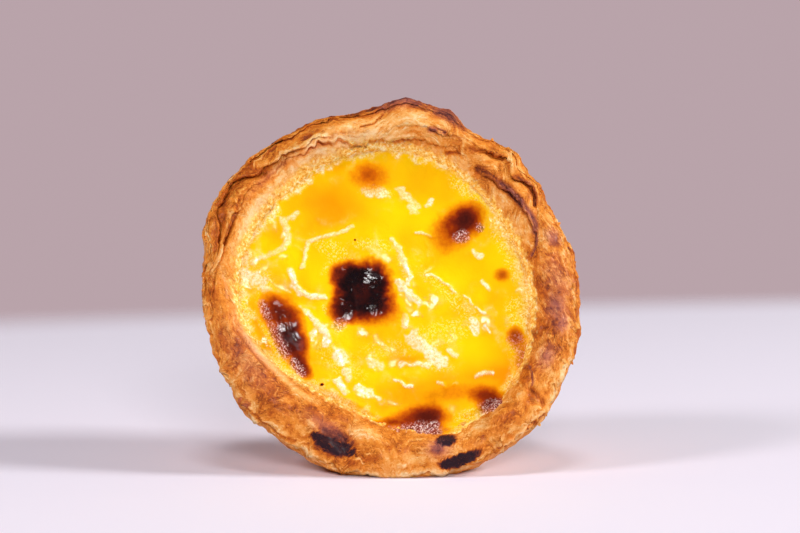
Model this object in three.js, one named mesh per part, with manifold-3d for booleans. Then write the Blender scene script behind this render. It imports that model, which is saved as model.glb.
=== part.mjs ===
// A Portuguese custard tart: a cup of puff pastry with a thick, torn and folded rim, filled with baked
// custard whose skin has wrinkled and scorched. The tart stands on its tapered side, so its open face
// leans back.
//
// Tart frame: z runs from the base out through the open face, y up the face, x to the right seen from
// the front.
// Part frame: +Z up, the face looks towards -Y, the origin is on the table under the middle of the tart.
// Lengths are in millimetres.

import * as THREE from "three";
import { mergeVertices } from "three/addons/utils/BufferGeometryUtils.js";
import Module from "manifold-3d";

// ---- driving dimensions ----
const LIP_RADIUS = 38.4; // mean radius at the widest point of the rim
const LIP_LEVEL = 24.5; // height of that widest point above the base
const BASE_RADIUS = 28.6;
const HEIGHT = 29; // base to the mean crest of the rim
const CUSTARD_RADIUS = 28.8; // mean radius where custard meets pastry
const CUSTARD_LEVEL = 25.2; // mean height of the custard above the base
const BASE_EDGE = 1.8; // rounding between base and side
const UNDERCUT = 1.5; // how far the lip stands out over the side
const UNDERCUT_LEVEL = 18.5; // height where the lip starts to bulge
const SIDE_RIPPLE = 0.35; // height of the ridges that the rolled dough leaves round the side
const SIDE_RIPPLE_LENGTH = 5.6;
const FLOOR_THICKNESS = 3.2;
const WALL_FOOT_RADIUS = 23.5; // inner radius of the cup at its floor
const GAP = 0.3; // custard to pastry
const FLAT_DEPTH = 0.75; // how deep the resting flat is pressed into the side
const TORN_SLOPE = 0.03; // how far a torn edge leans, as a share of the rim
const CREST_SHARE = 0.5; // where the crest lies across the rim, from the custard out to the lip
const AXIS_X = 0.8; // the uneven lip puts the axis this far off the middle of the part
const AXIS_Y = 15.2;

const CRUST_SEGMENTS = 112;
const CUSTARD_SEGMENTS = 84;

const TURN = 2 * Math.PI;
const rad = THREE.MathUtils.degToRad;

// ---- uneven outlines: each wave is [count round the tart, height, degrees of its first peak] ----
const LIP_WAVES = [[1, 0.8, -173], [2, 1, -56], [4, 0.35, -23], [5, 0.2, 0]];
const CUSTARD_WAVES = [[1, 1.4, 148], [2, 1.8, -43], [3, 1.2, -52], [4, 0.5, 10]];
const CREST_WAVES = [[2, 0.5, 120], [3, 0.45, 80], [7, 0.25, 10]];

const waves = (list, angle) =>
  list.reduce((sum, [count, height, peak]) => sum + height * Math.cos(count * (angle - rad(peak))), 0);

// The angle from one direction to another, from -180 to 180 degrees.
const turnTo = (angle, centre) => {
  const d = (THREE.MathUtils.radToDeg(angle) - centre) % 360;
  return d > 180 ? d - 360 : d < -180 ? d + 360 : d;
};

// A bump of height 1 round an angle, half as high one width away.
const bumpAt = (angle, centre, width) => Math.exp(-Math.LN2 * (turnTo(angle, centre) / width) ** 2);

// The knob of puffed pastry on top of the rim: a broad hump with a second, lower one beside it.
const knob = (angle) => 2.3 * bumpAt(angle, 86, 7) + 1.5 * bumpAt(angle, 74, 5);

const lipRadius = (angle) => LIP_RADIUS + waves(LIP_WAVES, angle) + knob(angle);
const custardRadius = (angle) => CUSTARD_RADIUS + waves(CUSTARD_WAVES, angle);
const crestHeight = (angle) => HEIGHT + waves(CREST_WAVES, angle) + 0.35 * knob(angle);

// ---- torn edges of the pastry's leaves: points [degrees, share of the way from custard to lip] ----
const INNER_LEAF = [[-30, 0.2], [6, 0.2], [17, 0.34], [25, 0.47], [42, 0.42], [53, 0.24], [66, 0.3],
  [80, 0.2], [101, 0.12], [112, 0.3], [120, 0.4], [135, 0.46], [150, 0.55], [160, 0.5], [169, 0.52],
  [185, 0.76], [195, 0.45], [203, 0.32], [215, 0.43], [229, 0.43], [245, 0.25], [290, 0.18]];
const MIDDLE_LEAF = [[-30, 0.55], [8, 0.5], [24, 0.6], [36, 0.82], [43, 0.7], [50, 0.75], [60, 0.63],
  [75, 0.4], [90, 0.34], [101, 0.3], [112, 0.4], [120, 0.5], [130, 0.56], [138, 0.66], [147, 0.9],
  [152, 0.88], [164, 0.68], [170, 0.66], [185, 0.86], [205, 0.62], [240, 0.55], [290, 0.55]];
const OUTER_LEAF = [[-30, 0.92], [10, 0.88], [26, 0.86], [36, 0.91], [44, 0.85], [52, 0.87], [66, 0.8],
  [95, 0.8], [130, 0.88], [147, 0.97], [164, 0.88], [185, 0.94], [240, 0.94], [290, 0.94]];

// The step at each torn edge: [height, centre in degrees, half-width in degrees]. A positive one has the
// leaf on the lip's side, standing over the custard, and a negative one has it on the custard's side.
// The largest tear starts as the inner edge on top and goes on as the middle edge at the upper left.
const INNER_LIFT = [[1.1, 88, 13], [1.3, 110, 12], [1.3, 34, 14], [0.9, 164, 15], [-0.6, 217, 18]];
const MIDDLE_LIFT = [[1.3, 134, 13], [0.8, 42, 12], [0.6, 162, 10], [0.5, 76, 8]];
const OUTER_LIFT = [[0.7, 120, 22], [0.5, 172, 12], [0.9, 48, 14], [0.7, 82, 12], [-0.6, -35, 26],
  [-0.6, 228, 26], [-0.55, 283, 24]];

// The value at an angle of a line through such points, eased between them.
function alongRim(points, angle) {
  const first = points[0][0];
  const at = THREE.MathUtils.euclideanModulo(THREE.MathUtils.radToDeg(angle) - first, 360) + first;
  const ring = [...points, [first + 360, points[0][1]]];
  const next = ring.findIndex(([a]) => a > at);
  const [[a0, v0], [a1, v1]] = [ring[next - 1], ring[next]];
  return THREE.MathUtils.lerp(v0, v1, THREE.MathUtils.smoothstep(at, a0, a1));
}

const lift = (list, angle) =>
  list.reduce((sum, [height, centre, width]) => sum + height * bumpAt(angle, centre, width), 0);

// ---- cross-section of the pastry, as [radius, height] ----

// Across the rim: share 0 is the custard's edge, CREST_SHARE the crest, 1 the widest point of the lip.
function rimPoint(angle, share) {
  const inner = custardRadius(angle);
  const band = lipRadius(angle) - inner;
  const top = crestHeight(angle);
  if (share < CREST_SHARE) {
    const rise = Math.sin((share / CREST_SHARE) * (Math.PI / 2));
    return [inner + band * share, CUSTARD_LEVEL + (top - CUSTARD_LEVEL) * rise];
  }
  const across = Math.min(1, (share - CREST_SHARE) / (1 - CREST_SHARE));
  return [inner + band * share, LIP_LEVEL + (top - LIP_LEVEL) * Math.sqrt(1 - across ** 2)];
}

// Each leaf ends in a torn edge that frays along the rim, stands over a gutter, and thins out away from
// its edge.
const LEAVES = [
  { edge: INNER_LEAF, lift: INNER_LIFT, fray: 0.022, gutterWidth: 0.09, thinning: 0.3 },
  { edge: MIDDLE_LEAF, lift: MIDDLE_LIFT, fray: 0.018, gutterWidth: 0.06, thinning: 0.2 },
  { edge: OUTER_LEAF, lift: OUTER_LIFT, fray: 0.012, gutterWidth: 0.06, thinning: 0.2 },
];
const GUTTER_SHARE = 0.55; // depth of the gutter beside the height of its leaf

const leafEdge = (leaf, angle) =>
  alongRim(leaf.edge, angle) + leaf.fray * (Math.sin(23 * angle) + Math.sin(37 * angle + 1) * 0.7);

// The relief of all leaves at one share of the rim. A share on a torn edge counts as on the lip's side of
// it where lipSide is true.
function leafRelief(angle, share, lipSide) {
  return LEAVES.reduce((sum, leaf) => {
    const height = lift(leaf.lift, angle);
    const past = share - leafEdge(leaf, angle);
    const beyond = Math.abs(past) < 1e-6 ? lipSide : past > 0;
    const onLeaf = beyond === height > 0;
    const away = Math.abs(past);
    const leafTop = Math.exp(-away / leaf.thinning);
    const gutter = -GUTTER_SHARE * Math.exp(-away / leaf.gutterWidth);
    return sum + Math.abs(height) * (onLeaf ? leafTop : gutter);
  }, 0);
}

// Broad dents and blisters that follow the rim.
const rimSwell = (angle, share) =>
  0.3 * Math.sin(9 * angle + 5 * share) * Math.sin(Math.PI * share) +
  0.22 * Math.sin(16 * angle - 7 * share + 1);

function crustRings(angle) {
  const lip = lipRadius(angle);
  const base = BASE_RADIUS + 0.35 * waves(LIP_WAVES, angle);
  const sideTop = lip - UNDERCUT;
  const rings = [[0, 0], [base * 0.5, 0], [base - BASE_EDGE, 0]];
  const corner = rad(45);
  rings.push([base - BASE_EDGE + BASE_EDGE * Math.sin(corner), BASE_EDGE * (1 - Math.cos(corner))]);

  // the side, ringed by the edges of the pastry's rolled layers
  const SIDE_STEPS = 6;
  for (let i = 0; i <= SIDE_STEPS; i++) {
    const t = i / SIDE_STEPS;
    const level = THREE.MathUtils.lerp(BASE_EDGE, UNDERCUT_LEVEL, t);
    const phase = (TURN * level) / SIDE_RIPPLE_LENGTH + 2 * Math.sin(2 * angle);
    const ripple = SIDE_RIPPLE * Math.sin(phase) * Math.sin(Math.PI * t);
    rings.push([THREE.MathUtils.lerp(base, sideTop, t) + ripple, level]);
  }
  // the underside of the lip
  const under = rad(40);
  const underLevel = LIP_LEVEL - (LIP_LEVEL - UNDERCUT_LEVEL) * Math.cos(under);
  rings.push([sideTop + UNDERCUT * Math.sin(under), underLevel]);
  // over the rim from lip to custard, with a pair of rings at each torn edge
  const [inner, middle, outer] = LEAVES.map((leaf) => leafEdge(leaf, angle));
  const between = THREE.MathUtils.lerp;
  const stations = [[1, true], [between(1, outer, 0.5), true], [outer, true], [outer - TORN_SLOPE, false],
    [between(outer, middle, 0.5), false], [middle, true], [middle - TORN_SLOPE, false],
    [between(middle, inner, 0.5), false], [inner, true], [inner - TORN_SLOPE, false],
    [between(inner, 0, 0.4), false], [between(inner, 0, 0.7), false], [0, false]];
  for (const [share, lipSide] of stations) {
    const [radius, level] = rimPoint(angle, share);
    const fade = THREE.MathUtils.smoothstep(share, 0, 0.12);
    const relief = leafRelief(angle, share, lipSide) + rimSwell(angle, share);
    const outward = Math.max(0, (share - CREST_SHARE) / (1 - CREST_SHARE)) ** 2;
    rings.push([radius + relief * fade * outward, level + relief * fade * (1 - 0.8 * outward)]);
  }
  // down the inside of the cup and across its floor
  rings.push([custardRadius(angle) - 0.8, CUSTARD_LEVEL - 3]);
  rings.push([WALL_FOOT_RADIUS + 1.2, FLOOR_THICKNESS + 3]);
  rings.push([WALL_FOOT_RADIUS - 1, FLOOR_THICKNESS]);
  rings.push([0, FLOOR_THICKNESS]);
  return rings;
}

// ---- the custard's surface ----

// Soft billows of the set custard: [height, length, direction in degrees, shift in turns]
const BILLOWS = [[0.5, 21, 25, 0.1], [0.4, 15, 110, 0.45], [0.3, 10.5, 65, 0.8], [0.22, 8, 160, 0.3]];

// Blisters that scorched: [x, y, half-length, half-width, direction in degrees, height]
const BLISTERS = [
  [-5.7, -0.4, 6.6, 6.1, 20, 0.9],
  [13.8, 13.2, 4.4, 3.3, 35, 0.7],
  [-21.6, -9.2, 7.6, 3.1, 115, 0.8],
  [6.2, -27.2, 6.4, 2.6, 3, 0.7],
  [19.3, -23.4, 2.8, 2.1, 10, 0.5],
  [-4.0, 22.8, 3.4, 2.4, 0, 0.5],
];

function custardHeight(x, y) {
  let height = CUSTARD_LEVEL + 0.3;
  for (const [tall, length, direction, shift] of BILLOWS) {
    const along = x * Math.cos(rad(direction)) + y * Math.sin(rad(direction));
    height += tall * Math.sin(TURN * (along / length + shift));
  }
  for (const [cx, cy, long, wide, direction, tall] of BLISTERS) {
    const [dx, dy] = [x - cx, y - cy];
    const [c, s] = [Math.cos(rad(direction)), Math.sin(rad(direction))];
    const away = Math.hypot((dx * c + dy * s) / long, (dy * c - dx * s) / wide);
    height += tall * Math.exp(-(away ** 4) * Math.LN2);
  }
  return height;
}

function custardRings(angle) {
  const edge = custardRadius(angle) - GAP - 0.15;
  const rings = [[0, FLOOR_THICKNESS + GAP], [WALL_FOOT_RADIUS - 1.6, FLOOR_THICKNESS + GAP],
    [WALL_FOOT_RADIUS + 0.7, FLOOR_THICKNESS + 3], [edge - 0.8, CUSTARD_LEVEL - 3],
    [edge, CUSTARD_LEVEL - 0.9]];
  const TOP_STEPS = 12;
  for (let i = 0; i <= TOP_STEPS; i++) {
    const radius = edge * 0.99 * (1 - i / TOP_STEPS);
    const level = custardHeight(radius * Math.cos(angle), radius * Math.sin(angle));
    const flush = THREE.MathUtils.smoothstep(i / TOP_STEPS, 0, 0.2);
    rings.push([radius, THREE.MathUtils.lerp(CUSTARD_LEVEL - 0.3, level, flush)]);
  }
  return rings;
}

// ---- meshes ----

// A closed solid of revolution whose section changes with the angle: ringsAt(angle) gives its points, as
// [radius, height].
function unevenLathe(ringsAt, segments) {
  const nominal = ringsAt(0).map(([radius, height]) => new THREE.Vector2(radius, height));
  const geometry = new THREE.LatheGeometry(nominal, segments);
  const position = geometry.getAttribute("position");
  for (let i = 0; i <= segments; i++) {
    const angle = (TURN * (i % segments)) / segments;
    ringsAt(angle).forEach(([radius, height], j) => {
      position.setXYZ(i * nominal.length + j, radius * Math.cos(angle), radius * Math.sin(angle), height);
    });
  }
  geometry.deleteAttribute("normal");
  geometry.deleteAttribute("uv");
  return mergeVertices(geometry, 1e-4);
}

const wasm = await Module();
wasm.setup();

const toSolid = (geometry) =>
  new wasm.Manifold(new wasm.Mesh({
    numProp: 3,
    vertProperties: geometry.getAttribute("position").array,
    triVerts: new Uint32Array(geometry.index.array),
  }));

function toGeometry(solid) {
  const { vertProperties, triVerts } = solid.getMesh();
  const geometry = new THREE.BufferGeometry();
  geometry.setAttribute("position", new THREE.BufferAttribute(vertProperties, 3));
  geometry.setIndex(new THREE.BufferAttribute(triVerts, 1));
  geometry.computeVertexNormals();
  return geometry;
}

// ---- the tart on the table ----

// It leans back by the taper of its side, so that base edge and lip both touch the table.
const DOWN = rad(270);
const LEAN = Math.atan2(lipRadius(DOWN) - BASE_RADIUS, LIP_LEVEL - BASE_EDGE / 2);
const AXIS_Z = lipRadius(DOWN) * Math.cos(LEAN) - LIP_LEVEL * Math.sin(LEAN) - FLAT_DEPTH;

const tart = new THREE.Group();
tart.rotation.x = Math.PI / 2 - LEAN;
tart.position.set(AXIS_X, AXIS_Y, AXIS_Z);
tart.updateMatrixWorld(true);

// The flat that the tart rests on: the table's top, brought into the tart's frame, trims the side.
function pressFlat(geometry) {
  const table = new THREE.BoxGeometry(120, 120, 30);
  table.translate(0, 0, -15);
  table.applyMatrix4(tart.matrixWorld.clone().invert());
  table.deleteAttribute("normal");
  table.deleteAttribute("uv");
  return toGeometry(toSolid(geometry).subtract(toSolid(mergeVertices(table))));
}

function addPiece(name, geometry, color, roughness) {
  const material = new THREE.MeshStandardMaterial({ color, roughness, metalness: 0 });
  const mesh = new THREE.Mesh(geometry, material);
  mesh.name = name;
  tart.add(mesh);
}

addPiece("pastry_shell", pressFlat(unevenLathe(crustRings, CRUST_SEGMENTS)), 0xd08a45, 0.7);
addPiece("custard_filling", unevenLathe(custardRings, CUSTARD_SEGMENTS), 0xffc814, 0.3);

const part = new THREE.Group();
part.add(tart);

export default part;
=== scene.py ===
import bpy
import numpy as np
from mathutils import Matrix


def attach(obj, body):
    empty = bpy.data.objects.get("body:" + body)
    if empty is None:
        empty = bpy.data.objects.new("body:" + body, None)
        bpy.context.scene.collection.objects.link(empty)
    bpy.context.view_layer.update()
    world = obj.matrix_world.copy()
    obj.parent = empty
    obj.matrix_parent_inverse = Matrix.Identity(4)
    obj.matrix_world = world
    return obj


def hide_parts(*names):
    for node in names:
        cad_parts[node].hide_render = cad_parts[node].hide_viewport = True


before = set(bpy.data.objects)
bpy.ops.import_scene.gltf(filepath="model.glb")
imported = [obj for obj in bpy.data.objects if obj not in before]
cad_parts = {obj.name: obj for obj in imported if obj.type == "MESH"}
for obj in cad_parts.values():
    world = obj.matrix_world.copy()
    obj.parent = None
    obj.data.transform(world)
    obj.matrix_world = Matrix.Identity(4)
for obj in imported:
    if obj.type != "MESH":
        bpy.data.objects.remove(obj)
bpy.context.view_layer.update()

# ======== Pastry cup ========
# A disc cut from rolled puff pastry and thumbed up the sides of a small tin, so that its layers run round the
# cup. In the oven the rim puffed, opened into leaves, tore and folded over. Sizes are in millimetres, in the
# tart's own frame: z out of the open face, y up the face, angles counted from +x, seen from the front.
MM = 0.001
TURN = 2 * np.pi

LIP_RADIUS = 38.4
LIP_LEVEL = 24.5
BASE_RADIUS = 28.6
HEIGHT = 29.0
CUSTARD_RADIUS = 28.8
CUSTARD_LEVEL = 25.2
BASE_EDGE = 1.8
UNDERCUT = 1.5
UNDERCUT_LEVEL = 18.5
SIDE_RIPPLE = 0.35
SIDE_RIPPLE_LENGTH = 5.6
FLOOR_THICKNESS = 3.2
WALL_FOOT_RADIUS = 23.5
WALL_INSET = 0.8
FOOT_OUT = 1.2
FOOT_IN = 1.0
WALL_BEND = 3.0  # how far from the floor and from the custard level the straight part of the wall ends
FLAT_DEPTH = 0.75
CREST_SHARE = 0.5
AXIS_X = 0.8
AXIS_Y = 15.2
BASE_SWING = 0.35  # the part of the lip's waves that reaches the base
KNOB_RISE = 0.35  # how high the knob rises, for each mm that it sticks out

# points round the cup, and rings of points on the base, its corner, the side and the underside of the lip
CRUST_SEGMENTS = 670
BASE_RINGS = 18
CORNER_RINGS = 4
SIDE_RINGS = 25
UNDER_RINGS = 7

# how the outlines swing out: how many times round, mm, degrees of a peak; then the knob: mm, degrees, width
LIP_WAVES = [(1, 0.8, -173), (2, 1, -56), (4, 0.35, -23), (5, 0.2, 0)]
CUSTARD_WAVES = [(1, 1.4, 148), (2, 1.8, -43), (3, 1.2, -52), (4, 0.5, 10)]
CREST_WAVES = [(2, 0.5, 120), (3, 0.45, 80), (7, 0.25, 10)]
KNOB = [(2.3, 86, 7), (1.5, 74, 5)]


def waves(table, angle):
    return sum(height * np.cos(count * (angle - np.radians(peak))) for count, height, peak in table)


def turn_to(angle, centre):
    return (np.degrees(angle) - centre + 180) % 360 - 180


def bump_at(angle, centre, width):
    return 0.5 ** ((turn_to(angle, centre) / width) ** 2)


def bumps(table, angle):
    """The sum of bumps round the tart, each given as its height, degrees and width in degrees."""
    return sum(height * bump_at(angle, centre, width) for height, centre, width in table)


def smoothstep(x, low, high):
    t = np.clip((x - low) / (high - low), 0, 1)
    return t * t * (3 - 2 * t)


def lerp(a, b, t):
    return a + (b - a) * t


def lip_radius(angle):
    return LIP_RADIUS + waves(LIP_WAVES, angle) + bumps(KNOB, angle)


def custard_radius(angle):
    return CUSTARD_RADIUS + waves(CUSTARD_WAVES, angle)


def crest_height(angle):
    return HEIGHT + waves(CREST_WAVES, angle) + KNOB_RISE * bumps(KNOB, angle)


DOWN = np.radians(270)
LEAN = np.arctan2(lip_radius(DOWN) - BASE_RADIUS, LIP_LEVEL - BASE_EDGE / 2)
AXIS_Z = lip_radius(DOWN) * np.cos(LEAN) - LIP_LEVEL * np.sin(LEAN) - FLAT_DEPTH


def stand_up(points):
    """Points of the tart's own frame, put where the leaning tart stands on the table, in metres."""
    x, y, z = points[..., 0], points[..., 1], points[..., 2]
    back = y * np.sin(LEAN) - z * np.cos(LEAN) + AXIS_Y
    up = y * np.cos(LEAN) + z * np.sin(LEAN) + AXIS_Z
    return np.stack([x + AXIS_X, back, np.maximum(up, 0)], -1) * MM


class Grain:
    """Smooth noise from -1 to 1, the same each time for a seed."""

    def __init__(self, seed):
        rng = np.random.default_rng(seed)
        self.order = rng.permutation(256)
        slopes = rng.normal(size=(256, 3))
        self.slopes = slopes / np.linalg.norm(slopes, axis=1, keepdims=True)

    def at(self, *coordinates):
        p = np.stack(np.broadcast_arrays(*coordinates), -1)
        cell = np.floor(p).astype(int)
        part = p - cell
        ease = part**3 * (part * (part * 6 - 15) + 10)
        total = 0
        for corner in np.ndindex(2, 2, 2):
            at = (cell + corner) & 255
            pick = self.order[(self.order[(self.order[at[..., 0]] + at[..., 1]) & 255] + at[..., 2]) & 255]
            slope = (self.slopes[pick] * (part - corner)).sum(-1)
            share = np.where(corner, ease, 1 - ease).prod(-1)
            total = total + slope * share
        return total * 1.6

    def layered(self, *coordinates, octaves=3, gain=0.5):
        total, weight, scale = 0, 1.0, 1.0
        for octave in range(octaves):
            total = total + weight * self.at(*(c * scale + 17.3 * octave for c in coordinates))
            weight *= gain
            scale *= 2
        return total


# torn edges of the leaves that cross the rim: degrees, share of the way from custard to lip
INNER_LEAF = [
    (-30, 0.2), (6, 0.2), (17, 0.34), (25, 0.47), (42, 0.42), (53, 0.24), (66, 0.3), (80, 0.2), (101, 0.12),
    (112, 0.3), (120, 0.4), (135, 0.46), (150, 0.55), (160, 0.5), (169, 0.52), (185, 0.76), (195, 0.45),
    (203, 0.32), (215, 0.43), (229, 0.43), (245, 0.25), (290, 0.18),
]
MIDDLE_LEAF = [
    (-30, 0.55), (8, 0.5), (24, 0.6), (36, 0.82), (43, 0.7), (50, 0.75), (60, 0.63), (75, 0.4), (90, 0.34),
    (101, 0.3), (112, 0.4), (120, 0.5), (130, 0.56), (138, 0.66), (147, 0.9), (152, 0.88), (164, 0.68),
    (170, 0.66), (185, 0.86), (205, 0.62), (240, 0.55), (290, 0.55),
]
OUTER_LEAF = [
    (-30, 0.92), (10, 0.88), (26, 0.86), (36, 0.91), (44, 0.85), (52, 0.87), (66, 0.8), (95, 0.8),
    (130, 0.88), (147, 0.97), (164, 0.88), (185, 0.94), (240, 0.94), (290, 0.94),
]
# how far the leaves lift at their edges: mm, less than 0 where the edge faces the lip, degrees, width
INNER_LIFT = [(1.0, 88, 13), (1.3, 110, 12), (0.8, 34, 14), (0.55, 164, 15)]
MIDDLE_LIFT = [(0.8, 134, 13), (0.5, 42, 12), (0.4, 162, 10), (0.3, 76, 8)]
OUTER_LIFT = [
    (0.35, 120, 22), (0.3, 172, 12), (0.15, 48, 14), (0.3, 82, 12), (-0.5, -35, 26), (-0.5, 228, 26),
    (-0.55, 283, 24),
]
# each leaf's edge and lift, and the waves of its edge, reach of its gutter and of its rise, as shares
LEAVES = [(INNER_LEAF, INNER_LIFT, 0.022, 0.09, 0.3),
          (MIDDLE_LEAF, MIDDLE_LIFT, 0.018, 0.06, 0.2),
          (OUTER_LEAF, OUTER_LIFT, 0.012, 0.06, 0.2)]
GUTTER_SHARE = 0.55
LEAF_THICKNESS = 0.34
TUCK = 0.09  # how far under a leaf its gutter runs, as a share of the rim
NOSE = 0.03  # how far a lifted leaf's edge juts out over its gutter, as a share of the rim
TEETH = 0.036  # raggedness of the torn edges, as a share of the rim
OWN_TEETH = 0.028  # the part of it that each leaf has for itself
TOOTH_LENGTH = 2.2
OWN_TOOTH_LENGTH = 1.3
FIRST_SHARE = 0.07
LAST_SHARE = 0.985
LEAF_SPACING = 0.06
LEAST_SPACING = 0.03
RIM_RADIUS = 36  # where lengths along the rim are counted


def along_rim(points, angle):
    first = points[0][0]
    at = (np.degrees(angle) - first) % 360 + first
    knots = np.array([*points, (first + 360, points[0][1])])
    i = np.clip(np.searchsorted(knots[:, 0], at, side="right") - 1, 0, len(points) - 1)
    t = smoothstep(at, knots[i, 0], knots[i + 1, 0])
    return lerp(knots[i, 1], knots[i + 1, 1], t)


def rim_point(angle, share):
    inner = custard_radius(angle)
    band = lip_radius(angle) - inner
    top = crest_height(angle)
    rise = np.sin(np.clip(share / CREST_SHARE, 0, 1) * np.pi / 2)
    across = np.clip((share - CREST_SHARE) / (1 - CREST_SHARE), 0, 1)
    inside = CUSTARD_LEVEL + (top - CUSTARD_LEVEL) * rise
    outside = LIP_LEVEL + (top - LIP_LEVEL) * np.sqrt(1 - across**2)
    return inner + band * share, np.where(share < CREST_SHARE, inside, outside)


angle = np.linspace(0, TURN, CRUST_SEGMENTS, endpoint=False)[:, None]
round_x, round_y = RIM_RADIUS * np.cos(angle), RIM_RADIUS * np.sin(angle)
teeth = Grain(3)
common = teeth.layered(round_x / TOOTH_LENGTH, round_y / TOOTH_LENGTH, 0, gain=0.6)
torn_more = 1 + 1.5 * bump_at(angle, 114, 14)
own_x, own_y = round_x / OWN_TOOTH_LENGTH, round_y / OWN_TOOTH_LENGTH
leaf_edges = []
for number, (edge, _, fray, _, _) in enumerate(LEAVES):
    own = torn_more * teeth.layered(own_x, own_y, 5 + number * 9.7, octaves=2, gain=0.6)
    wave = fray * (np.sin(23 * angle) + np.sin(37 * angle + 1) * 0.7)
    leaf_edges.append(along_rim(edge, angle) + wave + TEETH * common + OWN_TEETH * own)
inner_edge = np.maximum(leaf_edges[0], FIRST_SHARE)
middle_edge = np.maximum(leaf_edges[1], inner_edge + LEAF_SPACING)
outer_edge = np.clip(leaf_edges[2], middle_edge + LEAF_SPACING, LAST_SHARE)
middle_edge = np.minimum(middle_edge, outer_edge - LEAST_SPACING)
leaf_edges = [inner_edge, middle_edge, outer_edge]

# rings over the rim, from lip to custard, as shares; a torn edge takes four: top, nose, underside and gutter
STEP_RINGS = 4
STEP_BASE = np.array([0.006, 0.002, -0.002, -0.006])
STEP_OUT = np.array([0, -NOSE, -0.4 * NOSE, TUCK])
STEP_ROOM = 0.01
FULL_STEP = 0.3  # the lift in mm from which a torn edge has its whole nose and tuck


def rings_between(start, end, count):
    return lerp(start, end, np.linspace(0, 1, count + 2)[None, 1:-1])


def faces_in(height):
    """1 where a leaf's torn edge faces the custard, 0 where it faces the lip."""
    return smoothstep(height, -0.1, 0.1)


def step_rings(edge, height):
    reach = np.clip(np.abs(height) / FULL_STEP, 0, 1)
    return edge + STEP_BASE + reach * lerp(-STEP_OUT[::-1], STEP_OUT, faces_in(height))


lifts = [bumps(table, angle) for _, table, _, _, _ in LEAVES]
one = np.ones_like(angle)
blocks = [one, rings_between(one, outer_edge, 10), step_rings(outer_edge, lifts[2]),
          rings_between(outer_edge - STEP_ROOM, middle_edge + STEP_ROOM, 18),
          step_rings(middle_edge, lifts[1]),
          rings_between(middle_edge - STEP_ROOM, inner_edge + STEP_ROOM, 20),
          step_rings(inner_edge, lifts[0]), rings_between(inner_edge - STEP_ROOM, 0 * one, 27), 0 * one]
starts = np.cumsum([0] + [block.shape[1] for block in blocks])
share = np.concatenate(blocks, 1)
ring_number = np.arange(share.shape[1])[None, :]

BROAD_WAVE = 0.3
SMALL_WAVE = 0.22
relief = BROAD_WAVE * np.sin(9 * angle + 5 * share) * np.sin(np.pi * share)
relief = relief + SMALL_WAVE * np.sin(16 * angle - 7 * share + 1)
gutter_shade = np.zeros_like(share)
edge_pale = np.zeros_like(share)
for edge, height, block, (_, _, _, gutter_width, thinning) in zip(leaf_edges, lifts, (6, 4, 2), LEAVES):
    start = starts[block]
    past = np.abs(share - edge)
    on_leaf = (ring_number < start + STEP_RINGS / 2) == (height > 0)
    top = np.exp(-past / thinning)
    gutter = -GUTTER_SHARE * np.exp(-past / gutter_width)
    step = np.where(on_leaf, top, gutter) * np.abs(height)
    thick = np.minimum(LEAF_THICKNESS, 0.6 * np.abs(height))
    profile = np.array([1, 1, 1, -GUTTER_SHARE]) * np.abs(height)
    profile = profile - thick * np.array([0, 0.45, 1, 0])
    step[:, start:start + STEP_RINGS] = lerp(profile[:, ::-1], profile, faces_in(height))
    relief = relief + step
    weight = smoothstep(np.abs(height), 0.1, 0.7)
    # painted shade in the gutter beside each lifted leaf's edge, and the paler dough of its torn edge
    shadow_side = 0.4 * np.exp(-past / (0.8 * gutter_width)) + 1.2 * np.exp(-past / (0.22 * gutter_width))
    gutter_shade += weight * np.where(on_leaf, 0, shadow_side)
    edge_pale += weight * np.where(on_leaf, np.exp(-past / 0.05), 0)

# how far the lip bulged or drew back in the oven: degrees, mm
LIP_PUSH = [
    (0, -0.5), (15, -0.1), (30, -0.3), (38, 0.8), (44, 0.6), (50, 1.4), (57, 0.8), (62, -0.2), (67, -0.8),
    (74, 0.1), (90, 0.4), (100, 0), (108, 0.4), (120, 0.7), (132, 0.8), (142, 0.5), (152, 1.1), (161, 0.9),
    (167, -0.1), (180, 0), (190, 0.5), (205, 0.5), (211, 0.1), (217, 0.9), (222, 0.5), (228, -0.3),
    (240, -0.3), (255, 0), (300, 0), (318, 0.6), (326, 0), (336, -0.5), (350, -0.4),
]
rim_r, rim_z = rim_point(angle, share)
lip_push = along_rim(LIP_PUSH, angle)
rim_r = rim_r + lip_push * smoothstep(share, 0.5, 0.9)
fade = smoothstep(share, 0, 0.12)
outward = np.clip((share - CREST_SHARE) / (1 - CREST_SHARE), 0, 1) ** 2
band = lip_radius(angle) - custard_radius(angle)

# the side and the base below the rim, and the inside of the cup under the custard
base = BASE_RADIUS + BASE_SWING * waves(LIP_WAVES, angle)
side_top = lip_radius(angle) - UNDERCUT + lip_push
base_t = np.linspace(0, 1, BASE_RINGS)[None, :]
corner_t = np.radians(np.linspace(15, 75, CORNER_RINGS))[None, :]
side_t = np.linspace(0, 1, SIDE_RINGS)[None, :]
under_t = np.radians(np.linspace(12, 80, UNDER_RINGS))[None, :]
side_level = lerp(BASE_EDGE, UNDERCUT_LEVEL, side_t)
phase = TURN * side_level / SIDE_RIPPLE_LENGTH + 2 * np.sin(2 * angle)
ripple = SIDE_RIPPLE * np.sin(phase) * np.sin(np.pi * side_t)
below_r = np.concatenate([(base - BASE_EDGE) * base_t, base - BASE_EDGE + BASE_EDGE * np.sin(corner_t),
                          lerp(base, side_top, side_t) + ripple, side_top + UNDERCUT * np.sin(under_t)], 1)
under_level = LIP_LEVEL - (LIP_LEVEL - UNDERCUT_LEVEL) * np.cos(under_t)
below_z = np.concatenate([0 * base_t, BASE_EDGE * (1 - np.cos(corner_t)), side_level, under_level], 1)
below_z = below_z + 0 * base
foot_r = np.array([WALL_FOOT_RADIUS + FOOT_OUT, WALL_FOOT_RADIUS - FOOT_IN, 0])
inside_r = np.concatenate([custard_radius(angle) - WALL_INSET, foot_r + 0 * one], 1)
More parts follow.
